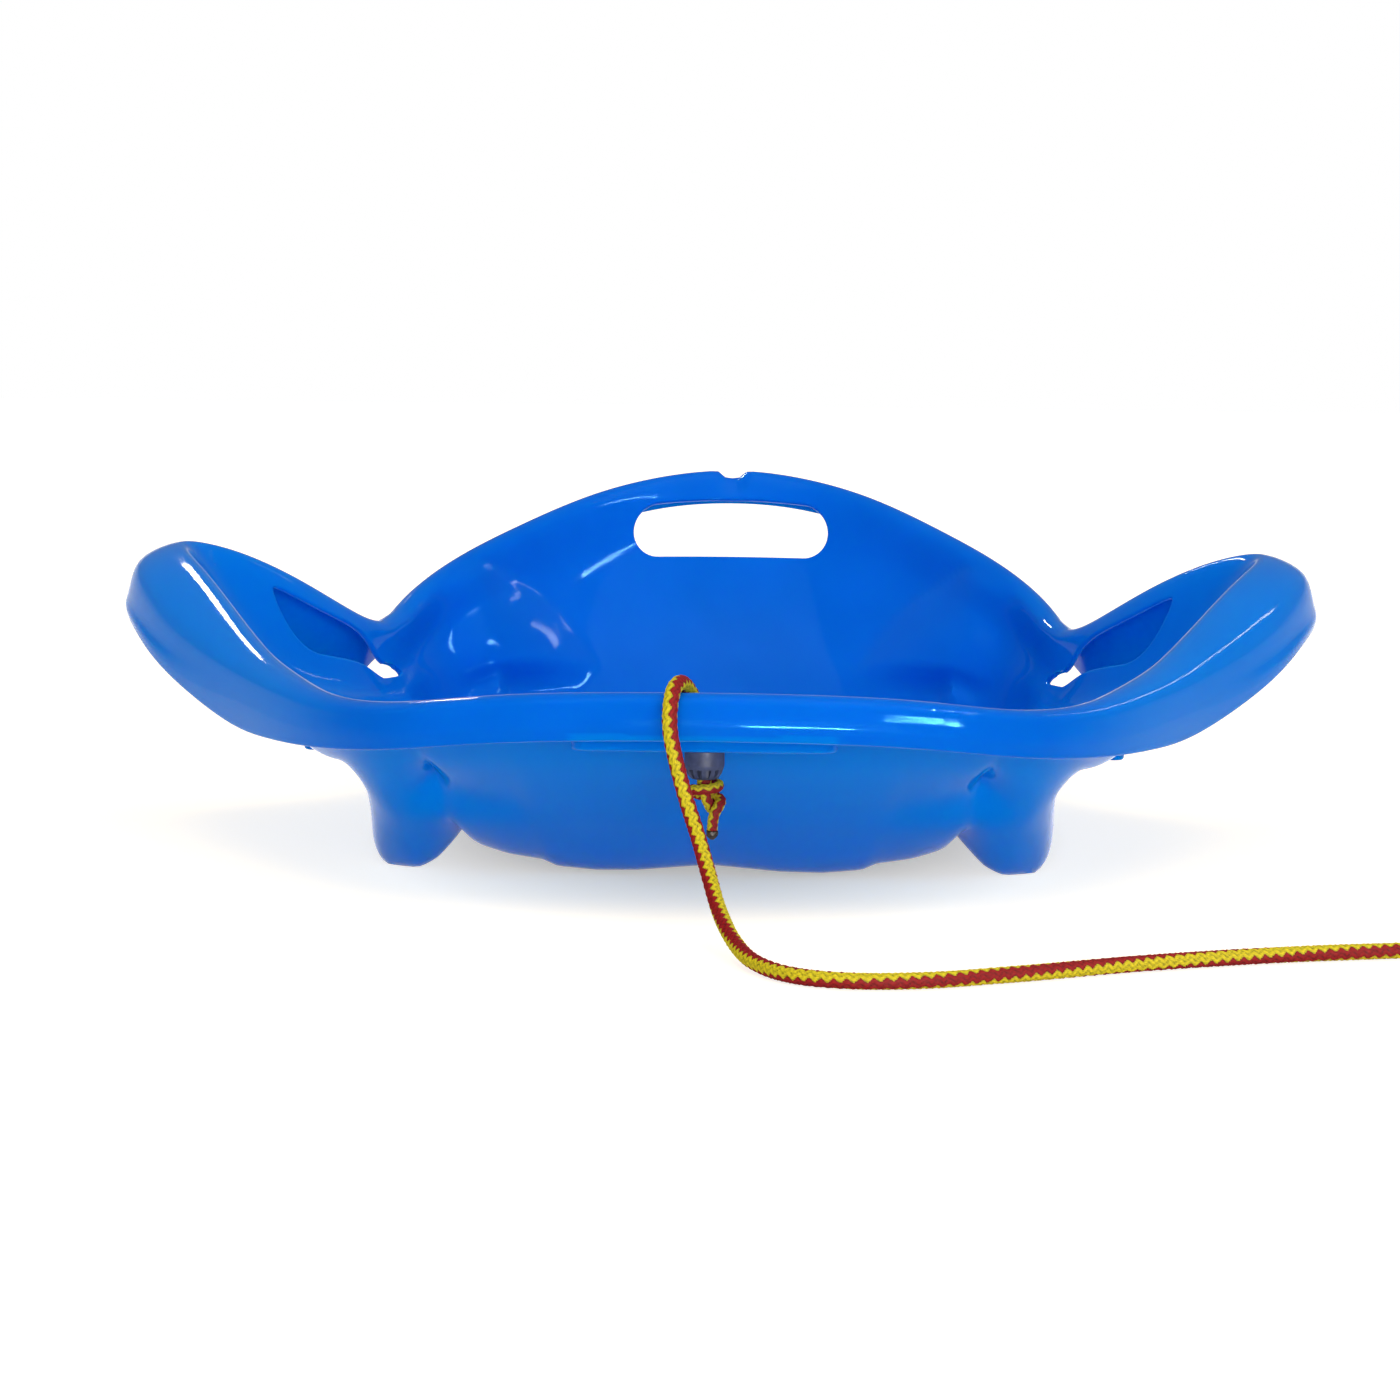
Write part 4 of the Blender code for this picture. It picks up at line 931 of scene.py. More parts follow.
KNOT_ROUTE_MM = (
    (0.0, 0.0, -0.3),
    (0.0, 0.0, -3.0),
    (0.5, -0.2, -7.0),
    (2.0, 1.0, -11.2),
    (3.2, 5.4, -13.8),
    (3.0, 10.6, -11.8),
    (2.6, 12.4, -7.2),
    (4.0, 10.2, -3.6),
    (6.2, 4.6, -3.0),
    (5.6, -2.4, -3.4),
    (1.2, -6.4, -3.9),
    (-4.5, -5.2, -4.3),
    (-7.0, -0.2, -5.2),
    (-5.2, 4.6, -6.6),
    (-0.8, 6.1, -8.0),
    (4.2, 5.9, -8.4),
    (7.2, 3.0, -9.6),
    (6.8, -2.0, -11.6),
    (4.9, -4.0, -15.0),
    (4.1, -3.8, -19.0),
    (3.9, -3.4, -22.5),
)
TOW_ROUTE = (
    (0.0000, -0.3050, 0.0602),
    (0.0000, -0.3050, 0.0680),
    (0.0000, -0.3050, 0.0760),
    (0.0000, -0.3050, 0.0805),
    (-0.0005, -0.3058, 0.0855),
    (-0.0022, -0.3090, 0.0915),
    (-0.0056, -0.3160, 0.0990),
    (-0.0086, -0.3250, 0.1045),
    (-0.0110, -0.3355, 0.1061),
    (-0.0131, -0.3448, 0.1035),
    (-0.0142, -0.3508, 0.0965),
    (-0.0140, -0.3538, 0.0870),
    (-0.0112, -0.3575, 0.0740),
    (-0.0064, -0.3640, 0.0580),
    (-0.0008, -0.3740, 0.0430),
    (0.0042, -0.3890, 0.0290),
    (0.0094, -0.4120, 0.0165),
    (0.0164, -0.4420, 0.0080),
    (0.0260, -0.4750, 0.0044),
    (0.0420, -0.5010, ROPE_ON_SNOW),
    (0.0650, -0.5120, ROPE_ON_SNOW),
    (0.0950, -0.5080, ROPE_ON_SNOW),
    (0.1300, -0.4900, ROPE_ON_SNOW),
    (0.1900, -0.4540, ROPE_ON_SNOW),
    (0.2500, -0.4270, ROPE_ON_SNOW),
    (0.3000, -0.4115, ROPE_ON_SNOW),
    (0.3350, -0.4045, 0.0040),
    (0.3520, -0.4022, 0.0048),
    (COIL_X - 2 * ROPE_RADIUS - FIT_GAP, COIL_Y - COIL_RADIUS, COIL_LOW_Z),
)


def along_route(route, spacing):
    """Points at even spacing on the smooth curve through a route's own points."""
    route = np.asarray(route, float)
    steps = np.linspace(0, len(route) - 1, 60 * len(route))
    fine = through(np.repeat(route[:, None, :], len(steps), axis=1), steps)
    run = np.concatenate([[0], np.cumsum(np.linalg.norm(np.diff(fine, axis=0), axis=1))])
    count = max(2, int(round(run[-1] / spacing)) + 1)
    even = np.linspace(0, run[-1], count)
    return np.stack([np.interp(even, run, fine[:, k]) for k in range(3)], -1)


def length_of(points):
    """The length of a line through points."""
    return float(np.linalg.norm(np.diff(points, axis=0), axis=1).sum())


def coil_points():
    """The coil: in, up one layer in the half turn where the spiral reverses, and out again."""
    points = []
    count = round(COIL_TURNS * POINTS_PER_TURN)
    for k in range(count + 1):
        turns = COIL_TURNS * k / count
        inward = min(turns, 2 * COIL_REVERSE_AT - turns)
        radius = COIL_RADIUS - COIL_PITCH * inward
        climb = min(max((turns - COIL_REVERSE_AT) / COIL_CLIMB_TURNS + 0.5, 0.0), 1.0)
        z = COIL_LOW_Z + COIL_LAYER * climb * climb * (3 - 2 * climb)
        angle = 2 * math.pi * turns - math.pi / 2
        points.append((COIL_X + radius * math.cos(angle), COIL_Y + radius * math.sin(angle), z))
    first = np.array(points[0]) - (2 * ROPE_RADIUS, 0, 0)
    last = np.array(points[-1]) + (0, 2 * ROPE_RADIUS, 0)
    return np.array([first] + [np.array(p) for p in points] + [last])


def end_route(end):
    """From the coil down to the snow and out to the knot at the rope's free end."""
    high = ROPE_ON_SNOW + 0.0062
    return np.array([
        end + (0, FIT_GAP, 0),
        end + (0, 0.0075, 0),
        end + (0.0005, 0.022, -0.0015),
        (end[0] + 0.003, end[1] + 0.040, 0.0062),
        (end[0] + 0.010, end[1] + 0.056, ROPE_ON_SNOW),
        (end[0] + 0.022, end[1] + 0.067, ROPE_ON_SNOW),
        (end[0] + 0.036, end[1] + 0.070, ROPE_ON_SNOW + 0.0010),
        (end[0] + 0.050, end[1] + 0.070, high),
        (end[0] + 0.058, end[1] + 0.070, high),
    ])


def frames_along(points):
    """Two directions square to a line at each of its points, turning no more than the line does."""
    tangents = np.gradient(points, axis=0)
    tangents /= np.linalg.norm(tangents, axis=1, keepdims=True)
    side = np.cross(tangents[0], (0.0, 1.0, 0.02))
    if np.linalg.norm(side) < 0.2:
        side = np.cross(tangents[0], (1.0, 0.0, 0.02))
    sides = []
    for tangent in tangents:
        side = side - tangent * side.dot(tangent)
        side = side / np.linalg.norm(side)
        sides.append(side)
    sides = np.array(sides)
    return tangents, sides, np.cross(tangents, sides)


# The braid: four pairs of parallel yarns, two pairs yellow and two red, that wave from side to side together
YARNS = 8
YARN_APART = math.radians(45.0)
YARN_HALF_ANGLE = math.radians(24.0)
YARN_LIFT = 0.10
WAVE_ANGLE = math.radians(15.5)
WAVE_LENGTH = 0.0051
BRAID_CREST = 1.02
BRAID_DEPTH = 0.32


def braid_height(angle, run, wave):
    """How high yellow and red yarns stand at an angle round the cord and a distance along it."""
    best = {0: np.zeros_like(angle), 1: np.zeros_like(angle)}
    cycle = 2 * math.pi * run / wave
    swing = np.sin(cycle) - np.sin(3 * cycle) / 9
    for yarn in range(YARNS):
        centre = YARN_APART * (yarn - 0.5) + WAVE_ANGLE * swing
        away = (angle - centre + math.pi) % (2 * math.pi) - math.pi
        lift = 1 - YARN_LIFT + YARN_LIFT * np.cos(cycle * 2 + 0.5 * math.pi * yarn)
        height = np.sqrt(np.clip(1 - (away / YARN_HALF_ANGLE) ** 2, 0, 1)) * lift
        colour = yarn // 2 % 2
        best[colour] = np.maximum(best[colour], height)
    return best[0], best[1]


def braided_cord(name, line, radii, around, twist, start_turn, material):
    """A braided cord as one mesh tube along a line; twist is in turns for each metre."""
    run = np.concatenate([[0], np.cumsum(np.linalg.norm(np.diff(line, axis=0), axis=1))])
    _, sides, ups = frames_along(line)
    turns = 2 * math.pi * np.arange(around) / around
    share = np.broadcast_to(np.asarray(radii, float), len(line)) / ROPE_RADIUS
    braid_angle = turns[None, :] + 2 * math.pi * (start_turn + twist * run[:, None])
    scaled_run = np.concatenate([[0], np.cumsum(np.diff(run) / share[1:])])
    yellow, red = braid_height(braid_angle, scaled_run[:, None] + 0 * braid_angle, WAVE_LENGTH)
    height = np.maximum(yellow, red)
    radius = (share * ROPE_RADIUS)[:, None] * (BRAID_CREST - BRAID_DEPTH * (1 - height))
    cosines, sines = np.cos(turns)[None, :, None], np.sin(turns)[None, :, None]
    across = cosines * sides[:, None, :] + sines * ups[:, None, :]
    points = line[:, None, :] + across * radius[:, :, None]
    cord = mesh_object(name, points.reshape(-1, 3), tube_faces(len(line), around), material)
    for label, values in (("yarn_side", yellow - red), ("yarn_height", height)):
        layer = cord.data.attributes.new(label, "FLOAT", "POINT")
        layer.data.foreach_set("value", values.reshape(-1).astype(np.float32))
    strand = cord.data.attributes.new("strand", "FLOAT2", "POINT")
    places = np.stack([scaled_run[:, None] / WAVE_LENGTH + 0 * braid_angle, braid_angle / (2 * math.pi)], -1)
    strand.data.foreach_set("vector", places.reshape(-1).astype(np.float32))
    return cord


def melted_tip(name, start, way, radius, material):
    """The end of a cord, melted into a short uneven bead."""
    line = np.array([start + way * TIP_LENGTH * k / (TIP_RINGS - 1) for k in range(TIP_RINGS)])
    _, sides, ups = frames_along(line)
    points = []
    for k, centre in enumerate(line):
        along = k / (TIP_RINGS - 1)
        swell = 1.0 + 0.06 * math.sin(5 * along) - 0.55 * max(0.0, along - 0.5) ** 1.6 / 0.33
        for turn in np.arange(TIP_SIDES) * 2 * math.pi / TIP_SIDES:
            uneven = 1 + 0.05 * math.sin(3 * turn + 7 * along) + 0.035 * math.sin(5 * turn - 11 * along)
            reach = radius * swell * uneven
            points.append(centre + sides[k] * math.cos(turn) * reach + ups[k] * math.sin(turn) * reach)
    tip = mesh_object(name, points, tube_faces(TIP_RINGS, TIP_SIDES), material)
    mark_sharp(tip.data, 50)
    return tip


def knot_line(place, spacing):
    """The knot's line from its place: a start and the ways across, back and up."""
    origin, across, back, up = (np.array(v, float) for v in place)
    route = [origin + (x * across + y * back + z * up) * 0.001 for x, y, z in KNOT_ROUTE_MM]
    return along_route(route, spacing)


def knot_piece(name, place, cord_material, tip_material):
    """A knot, whose strand starts as thick as the rope and is soon drawn thin, and its melted tip."""
    line = knot_line(place, KNOT_STEP)
    run = np.linspace(0, length_of(line), len(line))
    radii = np.maximum(KNOT_STRAND, ROPE_RADIUS - (ROPE_RADIUS - KNOT_STRAND) * run / KNOT_DRAWN_IN)
    look = (KNOT_SIDES, KNOT_TWIST, KNOT_START_TURN, cord_material)
    knot = braided_cord("braided_" + name, line, radii, *look)
    way = line[-1] - line[-2]
    way /= np.linalg.norm(way)
    tip = melted_tip("bead_of_" + name, line[-1] + way * FIT_GAP, way, KNOT_STRAND, tip_material)
    return knot, tip


def tie_piece(material):
    """A strap round the coil's strands, with its end lapped over and pressed down."""
    turn = math.radians(TIE_ANGLE)
    first = (turn + math.pi / 2) / (2 * math.pi) % 1.0
    radii = []
    for whole in range(int(COIL_TURNS - first) + 1):
        turns = first + whole
        radii.append(COIL_RADIUS - COIL_PITCH * min(turns, 2 * COIL_REVERSE_AT - turns))
    middle = (min(radii) + max(radii)) / 2
    half_x = (max(radii) - min(radii)) / 2 + ROPE_RADIUS + TIE_ROOM
    half_z = COIL_LAYER / 2 + ROPE_RADIUS + TIE_ROOM / 2
    out = np.array([math.cos(turn), math.sin(turn), 0])
    along = np.array([-out[1], out[0], 0])
    centre = np.array([COIL_X, COIL_Y, COIL_LOW_Z + COIL_LAYER / 2]) + out * middle
    loop = resampled(np.array(rounded_rectangle(half_x, half_z, ROPE_RADIUS)), TIE_POINTS)
    line = np.concatenate([loop, loop[:TIE_LAP]])
    count = len(line)
    lifted = np.clip((np.arange(count) - TIE_POINTS) / TIE_LIFT_OVER + 1, 0, 1)
    ahead, behind = np.roll(line, -1, 0), np.roll(line, 1, 0)
    ahead[-1], behind[0] = line[-1] + (line[-1] - line[-2]), line[0] - (line[1] - line[0])
    tangent = (ahead - behind) / np.linalg.norm(ahead - behind, axis=1, keepdims=True)
    way = np.stack([tangent[:, 1], -tangent[:, 0]], -1)
    line = line + way * (lifted * (TIE_THICKNESS + TIE_BULGE))[:, None]
    half, thick = TIE_WIDTH / 2, TIE_THICKNESS
    bulge = half + TIE_BULGE
    right = ((half, 0.0), (bulge, 0.5 * thick), (half, thick))
    left = ((-half, thick), (-bulge, 0.5 * thick))
    section = ((-half, 0.0), *right, *left)
    points = []
    for (x, z), (wx, wz) in zip(line, way):
        for side, lift in section:
            points.append(centre + out * (x + wx * lift) + np.array([0, 0, z + wz * lift]) + along * side)
    tie = mesh_object("coil_strap", points, tube_faces(count, len(section)), material)
    mark_sharp(tie.data, 40)
    return tie


# Materials

WHITE = (1.0, 1.0, 1.0, 1.0)


def fill(tree, made, inputs):
    """Sets a node's sockets, by name or number, to values or to other nodes' outputs."""
    for key, value in inputs.items():
        if isinstance(value, bpy.types.NodeSocket):
            tree.links.new(value, made.inputs[key])
        else:
            made.inputs[key].default_value = value


def node(tree, kind, inputs=None, **settings):
    """Adds a shader node with its settings and its sockets' inputs."""
    made = tree.nodes.new("ShaderNode" + kind)
    for key, value in settings.items():
        setattr(made, key, value)
    fill(tree, made, inputs or {})
    return made


def new_material(name):
    """A principled material: itself, its tree, its shader and the places on its object."""
    made = bpy.data.materials.new(name)
    made.use_nodes = True
    tree = made.node_tree
    return made, tree, tree.nodes["Principled BSDF"], node(tree, "TexCoord").outputs["Object"]


def emptied_tree(owner):
    owner.use_nodes = True
    owner.node_tree.nodes.clear()
    return owner.node_tree


def add_noise(tree, place, scale, detail):
    return node(tree, "TexNoise", {"Vector": place, "Scale": scale, "Detail": detail}).outputs["Fac"]


def add_bump(tree, height, strength, distance, more=None):
    inputs = {"Height": height, "Strength": strength, "Distance": distance, **(more or {})}
    return node(tree, "Bump", inputs).outputs[0]


def attribute(tree, name, output="Fac"):
    return node(tree, "Attribute", attribute_name=name).outputs[output]


def mixed(tree, share, first, second, blend_type="MIX"):
    inputs = {0: share, 6: first, 7: second}
    return node(tree, "Mix", inputs, data_type="RGBA", blend_type=blend_type).outputs[2]


def tinted(colour, share, extra=0.0):
    """A colour made darker or lighter, with no part of it over 1."""
    return tuple(min(1.0, share * part + extra) for part in colour)


def ramp(tree, factor, stops):
    made = node(tree, "ValToRGB", {0: factor})
    elements = made.color_ramp.elements
    while len(elements) < len(stops):
        elements.new(0.5)
    for element, (place, colour) in zip(elements, stops):
        element.position = place
        element.color = (*colour, 1.0)
    return made.outputs[0]


def to_range(tree, value, low, high, new_low, new_high):
    made = node(tree, "MapRange", {0: value, 1: low, 2: high, 3: new_low, 4: new_high})
    made.clamp = True
    return made.outputs[0]


def seen_by(tree, path, *rays):
    """1 for the kinds of ray that are named, and 0 for the rest."""
    seen = path.outputs[rays[0]]
    for ray in rays[1:]:
        seen = node(tree, "Math", {0: seen, 1: path.outputs[ray]}, operation="MAXIMUM").outputs[0]
    return seen


def blue_plastic(settings):
    """Glossy moulded polyethylene: faint mottling, orange peel, fine scuffs from use, and a painted teal
    light coming through the wall on its underside.
    """
    made, tree, shader, place = new_material("blue polyethylene")
    stops = ((0.30, tinted(settings.colour, 0.90)), (0.70, tinted(settings.colour, 1.06, 0.002)))
    tint = ramp(tree, add_noise(tree, place, 9.0, 3.0), stops)
    stretch = {"Vector": place, "Rotation": (0.0, 0.0, 0.5), "Scale": (900.0, 36.0, 300.0)}
    scuffs = add_noise(tree, node(tree, "Mapping", stretch).outputs[0], 1.0, 2.0)
    scuffed = to_range(tree, scuffs, 0.62, 0.80, 0.0, 0.16)
    least, most = settings.roughness - 0.02, settings.roughness + 0.03
    gloss = to_range(tree, add_noise(tree, place, 26.0, 2.0), 0.3, 0.7, least, most)
    peel = add_bump(tree, add_noise(tree, place, 260.0, 1.0), 0.12, 0.00012)
    fill(tree, shader, {
        # Base colour turned to the underside colour by the "underside" number: painted light coming through
        # the wall
        "Base Color": mixed(tree, attribute(tree, "underside"), tint, (*settings.underside_painted_light_colour, 1.0)),
        "Roughness": node(tree, "Math", {0: gloss, 1: scuffed}, operation="ADD").outputs[0],
        "Normal": add_bump(tree, add_noise(tree, place, 42.0, 1.0), 0.13, 0.0005, {"Normal": peel}),
        "Specular IOR Level": 0.07,
        "Specular Tint": (0.10, 0.62, 1.0, 1.0),
        "Subsurface Weight": settings.translucency,
        "Subsurface Radius": (0.02, 1.2, 0.75),
        "Subsurface Scale": 0.006,
    })
    return made


def bush_plastic(settings):
    """Matt grey-blue nylon with faint moulding marks."""
    made, tree, shader, place = new_material("grey-blue plastic")
    marks = add_noise(tree, place, 420.0, 3.0)
    stops = ((0.3, tinted(settings.colour, 0.82)), (0.7, tinted(settings.colour, 1.1)))
    fill(tree, shader, {
        "Base Color": ramp(tree, marks, stops),
        "Roughness": to_range(tree, marks, 0.3, 0.7, 0.46, 0.60),
        "Normal": add_bump(tree, add_noise(tree, place, 1600.0, 1.0), 0.2, 0.00006),
        "Specular IOR Level": 0.14,
    })
    return made


def braided_material(settings):
    """Red and yellow yarns, told apart by the braid's own numbers, with painted shade darkening them down in
    its creases.
    """
    made, tree, shader, place = new_material("braided cord")
    strand = attribute(tree, "strand", "Vector")
    fibres = node(tree, "Mapping", {"Vector": strand, "Scale": (3.0, 90.0, 1.0)}).outputs[0]
    streaks = add_noise(tree, fibres, 1.0, 3.0)
    yarns = []
    for colour in (settings.red, settings.yellow):
        stops = ((0.28, tinted(colour, 0.62)), (0.62, tinted(colour, 1.12, 0.004)))
        yarns.append(ramp(tree, streaks, stops))
    is_yellow = to_range(tree, attribute(tree, "yarn_side"), -0.05, 0.05, 0.0, 1.0)
    # Painted shade: the colour darkens where the yarns sink into the braid's creases
    crease = to_range(tree, attribute(tree, "yarn_height"), 0.18, 0.85, 0.10, 1.0)
    fill(tree, shader, {
        "Base Color": mixed(tree, 1.0, mixed(tree, is_yellow, *yarns), crease, "MULTIPLY"),
        "Roughness": to_range(tree, add_noise(tree, place, 700.0, 3.0), 0.3, 0.7, 0.66, 0.86),
        "Normal": add_bump(tree, streaks, 0.5, 0.00025),
        "Specular IOR Level": 0.12,
    })
    return made


def melted_material():
    """Cord end melted to a dark glassy bead with streaks of its own colours."""
    made, tree, shader, place = new_material("melted cord end")
    streaks = add_noise(tree, place, 520.0, 3.0)
    stops = ((0.32, (0.010, 0.006, 0.003)), (0.55, (0.035, 0.018, 0.005)), (0.80, (0.11, 0.075, 0.010)))
    fill(tree, shader, {
        "Base Color": ramp(tree, streaks, stops),
        "Roughness": to_range(tree, streaks, 0.3, 0.7, 0.35, 0.6),
        "Normal": add_bump(tree, streaks, 0.5, 0.0003),
        "Specular IOR Level": 0.2,
    })
    return made


def strap_material():
    """Black woven strap with a fuzzy looped face."""
    made, tree, shader, place = new_material("black strap")
    weave = node(tree, "TexVoronoi", {"Vector": place, "Scale": 1500.0}).outputs["Distance"]
    fill(tree, shader, {
        "Base Color": ramp(tree, weave, ((0.1, (0.035, 0.035, 0.037)), (0.8, (0.008, 0.008, 0.009)))),
        "Roughness": to_range(tree, add_noise(tree, place, 600.0, 3.0), 0.3, 0.7, 0.75, 0.92),
        "Normal": add_bump(tree, weave, 0.8, 0.0002),
        "Sheen Weight": 0.4,
    })
    return made


FLOOR_HALF = 7.0
FLOOR_DROP = 0.0002
# Painted shadow pool round the sled: inside this ellipse the floor's added glow is weak, so the shadow
# shows; outside it the glow paints the floor white
SHADOW_HALF = (0.168, 0.33)
SHADOW_FADE = (0.60, 1.08)


def floor_material(settings):
    """A pale studio floor that is seen as white through an added glow, apart from the sled's shadow in a
    painted pool round the sled where the glow is weaker.
    """
    made = bpy.data.materials.new("studio floor")
    tree = emptied_tree(made)
    unevenness = node(tree, "TexNoise", {"Scale": 3.0, "Detail": 2.0}).outputs["Fac"]
    stops = ((0.3, tinted(settings.floor_colour, 0.985)), (0.7, tuple(settings.floor_colour)))
    path = node(tree, "LightPath")
    # A warm floor colour for camera rays only: painted, to take the blue out of the shadow
    seen_colour = (*settings.shadow_colour, 1.0)
    colour = mixed(tree, path.outputs["Is Camera Ray"], ramp(tree, unevenness, stops), seen_colour)
    place = node(tree, "TexCoord").outputs["Object"]
    shaped = node(tree, "Mapping", {"Vector": place, "Scale": (*(1 / half for half in SHADOW_HALF), 0.0)})
    distance = node(tree, "VectorMath", {0: shaped.outputs[0]}, operation="LENGTH").outputs["Value"]
    lift = to_range(tree, distance, *SHADOW_FADE, settings.floor_glow, settings.floor_lift_far)
    parts = {
        0: seen_by(tree, path, "Is Camera Ray", "Is Glossy Ray", "Is Transmission Ray"),
        1: node(tree, "Emission", {"Strength": 0.0}).outputs[0],
        2: node(tree, "Emission", {"Color": WHITE, "Strength": lift}).outputs[0],
    }
    lit = node(tree, "BsdfDiffuse", {"Color": colour}).outputs[0]
    both = node(tree, "AddShader", {0: lit, 1: node(tree, "MixShader", parts).outputs[0]})
    node(tree, "OutputMaterial", {0: both.outputs[0]})
    return made


# Settings that a user would change

def colour_setting(name, description, default):
    look = {"subtype": "COLOR", "size": 3, "min": 0.0, "max": 1.0}
    return FloatVectorProperty(name=name, description=description, default=default, **look)


def number_setting(name, description, low, high, default, **more):
    return FloatProperty(name=name, description=description, min=low, max=high, default=default, **more)


def count_setting(name, description, low, high, default):
    return IntProperty(name=name, description=description, min=low, max=high, default=default)


class ShellSettings(bpy.types.PropertyGroup):
    colour: colour_setting("Plastic colour", "Colour of the moulded plastic", (0.0, 0.172, 0.84))
    # Painted light: the teal that light coming through the wall gives the lower face, tray and wings
    underside_painted_light_colour: colour_setting(
        "Underside colour", "Colour of the wall's lower face, which light comes through", (0.0, 0.29, 0.95)
    )
    roughness: number_setting(
        "Roughness", "How dull the plastic's surface is", 0.05, 0.9, 0.055, subtype="FACTOR"
    )
    translucency: number_setting(
        "Translucency", "How much light spreads inside the wall", 0.0, 1.0, 0.45, subtype="FACTOR"
    )
    lines: count_setting("Lines along a side", "How finely each side of the shell is meshed", 40, 160, 104)


class BushSettings(bpy.types.PropertyGroup):
    colour: colour_setting("Bush colour", "Colour of the rope bush", (0.070, 0.086, 0.165))
    windows: count_setting("Windows", "Openings round the bush's taper", 4, 16, 12)


class RopeSettings(bpy.types.PropertyGroup):
    yellow: colour_setting("Yellow yarn", "Colour of the yellow yarns", (0.95, 0.72, 0.010))
    red: colour_setting("Red yarn", "Colour of the red yarns", (0.41, 0.004, 0.004))
    twist: number_setting("Twist", "Turns of the braid for each metre of cord", -10.0, 10.0, 2.5)
    step: number_setting(
        "Ring spacing", "Distance between the rings of the cord's mesh", 0.0003, 0.003, 0.00066,
        subtype="DISTANCE", unit="LENGTH",
    )


class StageSettings(bpy.types.PropertyGroup):
    floor_colour: colour_setting("Floor colour", "Colour of the studio floor", (0.86, 0.855, 0.84))
    # Painted shade colour: the floor's colour for the camera, warm to take the blue out of the shadow
    shadow_colour: colour_setting(
        "Floor colour in the shadow",
        "Colour of the floor where the camera sees it, which takes the blue out of the shadow",
        (0.80, 0.62, 0.36),
    )
    # Painted light: glow added to the floor, weaker close to the sled, which shapes the painted shadow pool
    floor_glow: number_setting(
        "Floor lift under the sled", "Light added where the floor is seen close to the sled", 0.0, 1.0, 0.44
    )
    floor_lift_far: number_setting(
        "Floor lift further out", "Light added where the floor is seen away from the sled", 0.0, 1.0, 0.80
    )
    focal_length: number_setting(
        "Focal length", "Lens of the camera on a 36 mm sensor, in millimetres", 20.0, 300.0, 111.777
    )


class BOBSLED_OT_rope(bpy.types.Operator):
    """Adds the tow rope, from the knot up through the bush and out to the coil"""

    bl_idname = "bobsled.add_rope"
    bl_label = "Add Tow Rope"

    def execute(self, context):
        settings = context.scene.bobsled_rope
        cord_material = braided_material(settings)
        tip_material = melted_material()
        bottom = bush_heights()[3]
        coil = coil_points()
        end = end_route(coil[-1])
        route = np.concatenate([np.array(TOW_ROUTE[:-1]), coil, end[1:]])
        line = along_route(route, settings.step)
        look = (CORD_SIDES, settings.twist, 0.0, cord_material)
        rope = braided_cord("braided_rope", line, ROPE_RADIUS, *look)
        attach(rope, SLED_BODY)
        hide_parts("tow_rope", "rope_coil", "rope_end")
        places = {
            "stopper_knot": ((0, BUSH_Y, bottom), (1, 0, 0), (0, 1, 0), (0, 0, 1)),
            "end_knot": (line[-1], (0, 0, -1), (0, 1, 0), (-1, 0, 0)),
        }
        for name, place in places.items():
            knot, tip = knot_piece(name, place, cord_material, tip_material)
            for piece, solid in ((knot, name), (tip, name + "_melted_tip")):
                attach(piece, SLED_BODY)
                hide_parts(solid)
        tie = tie_piece(strap_material())
        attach(tie, SLED_BODY)
        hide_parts("coil_tie")
        print("rope piece, m:", round(length_of(line), 4))
        return {"FINISHED"}


class BOBSLED_OT_bush(bpy.types.Operator):
    """Adds the turned cup that the rope runs through"""

    bl_idname = "bobsled.add_bush"
    bl_label = "Add Rope Bush"

    def execute(self, context):
        settings = context.scene.bobsled_bush
        bush = build_bush_piece(settings.windows, bush_plastic(settings))
        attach(bush, BUSH_BODY)
        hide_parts("rope_bush")
        return {"FINISHED"}


class BOBSLED_OT_shell(bpy.types.Operator):
    """Adds the moulded shell with its holes, tray and lugs"""

    bl_idname = "bobsled.add_shell"
    bl_label = "Add Sled Shell"

    def execute(self, context):
        settings = context.scene.bobsled_shell
        shell = build_shell_piece(settings.lines, blue_plastic(settings))
        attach(shell, SLED_BODY)
        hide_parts("sled_shell")
        print("shell triangles:", sum(len(p.vertices) - 2 for p in shell.data.polygons))
        return {"FINISHED"}


CAMERA_PLACE = (0.045, -2.24, 0.287)
CAMERA_YAW = math.radians(-1.4)
CAMERA_PITCH = math.radians(5.643)
CAMERA_ROLL = math.radians(0.6)
SENSOR_WIDTH = 36.0
# The world's light: strength at the horizon and overhead, and the heights between which it changes
STUDIO_LIGHT = (1.0, 0.26)
STUDIO_HEIGHTS = (0.02, 0.20)
# Lamps: name, kind, place, what it points at, power, size, height
LAMPS = (
    ("top", "SUN", (0.3, -0.9, 3.0), (0, 0, 0), 1.2, math.radians(60), None),
    ("front", "AREA", (0.5, -3.2, 0.45), (0, 0, 0.08), 31.0, 2.4, 0.8),
)
# Highlight lamps: name, place, what it points at, brightness, width, height
GLEAMS = (
    ("nose line", (0.52, -2.49, 0.145), (0.045, -0.343, 0.088), 640.0, 0.66, 0.11),
    ("corner line", (1.48, -1.87, 0.84), (0.095, -0.331, 0.09), 460.0, 1.0, 0.022),
    ("wing streak", (-0.71, 1.62, 1.42), (-0.25, -0.10, 0.125), 52.0, 0.11, 0.40),
    ("pad edges", (1.40, 1.18, 1.37), (-0.125, 0.224, 0.11), 15.0, 0.05, 0.50),
    ("rim streak", (1.26, -0.31, 1.78), (-0.06, 0.30, 0.153), 120.0, 0.7, 0.08),
)


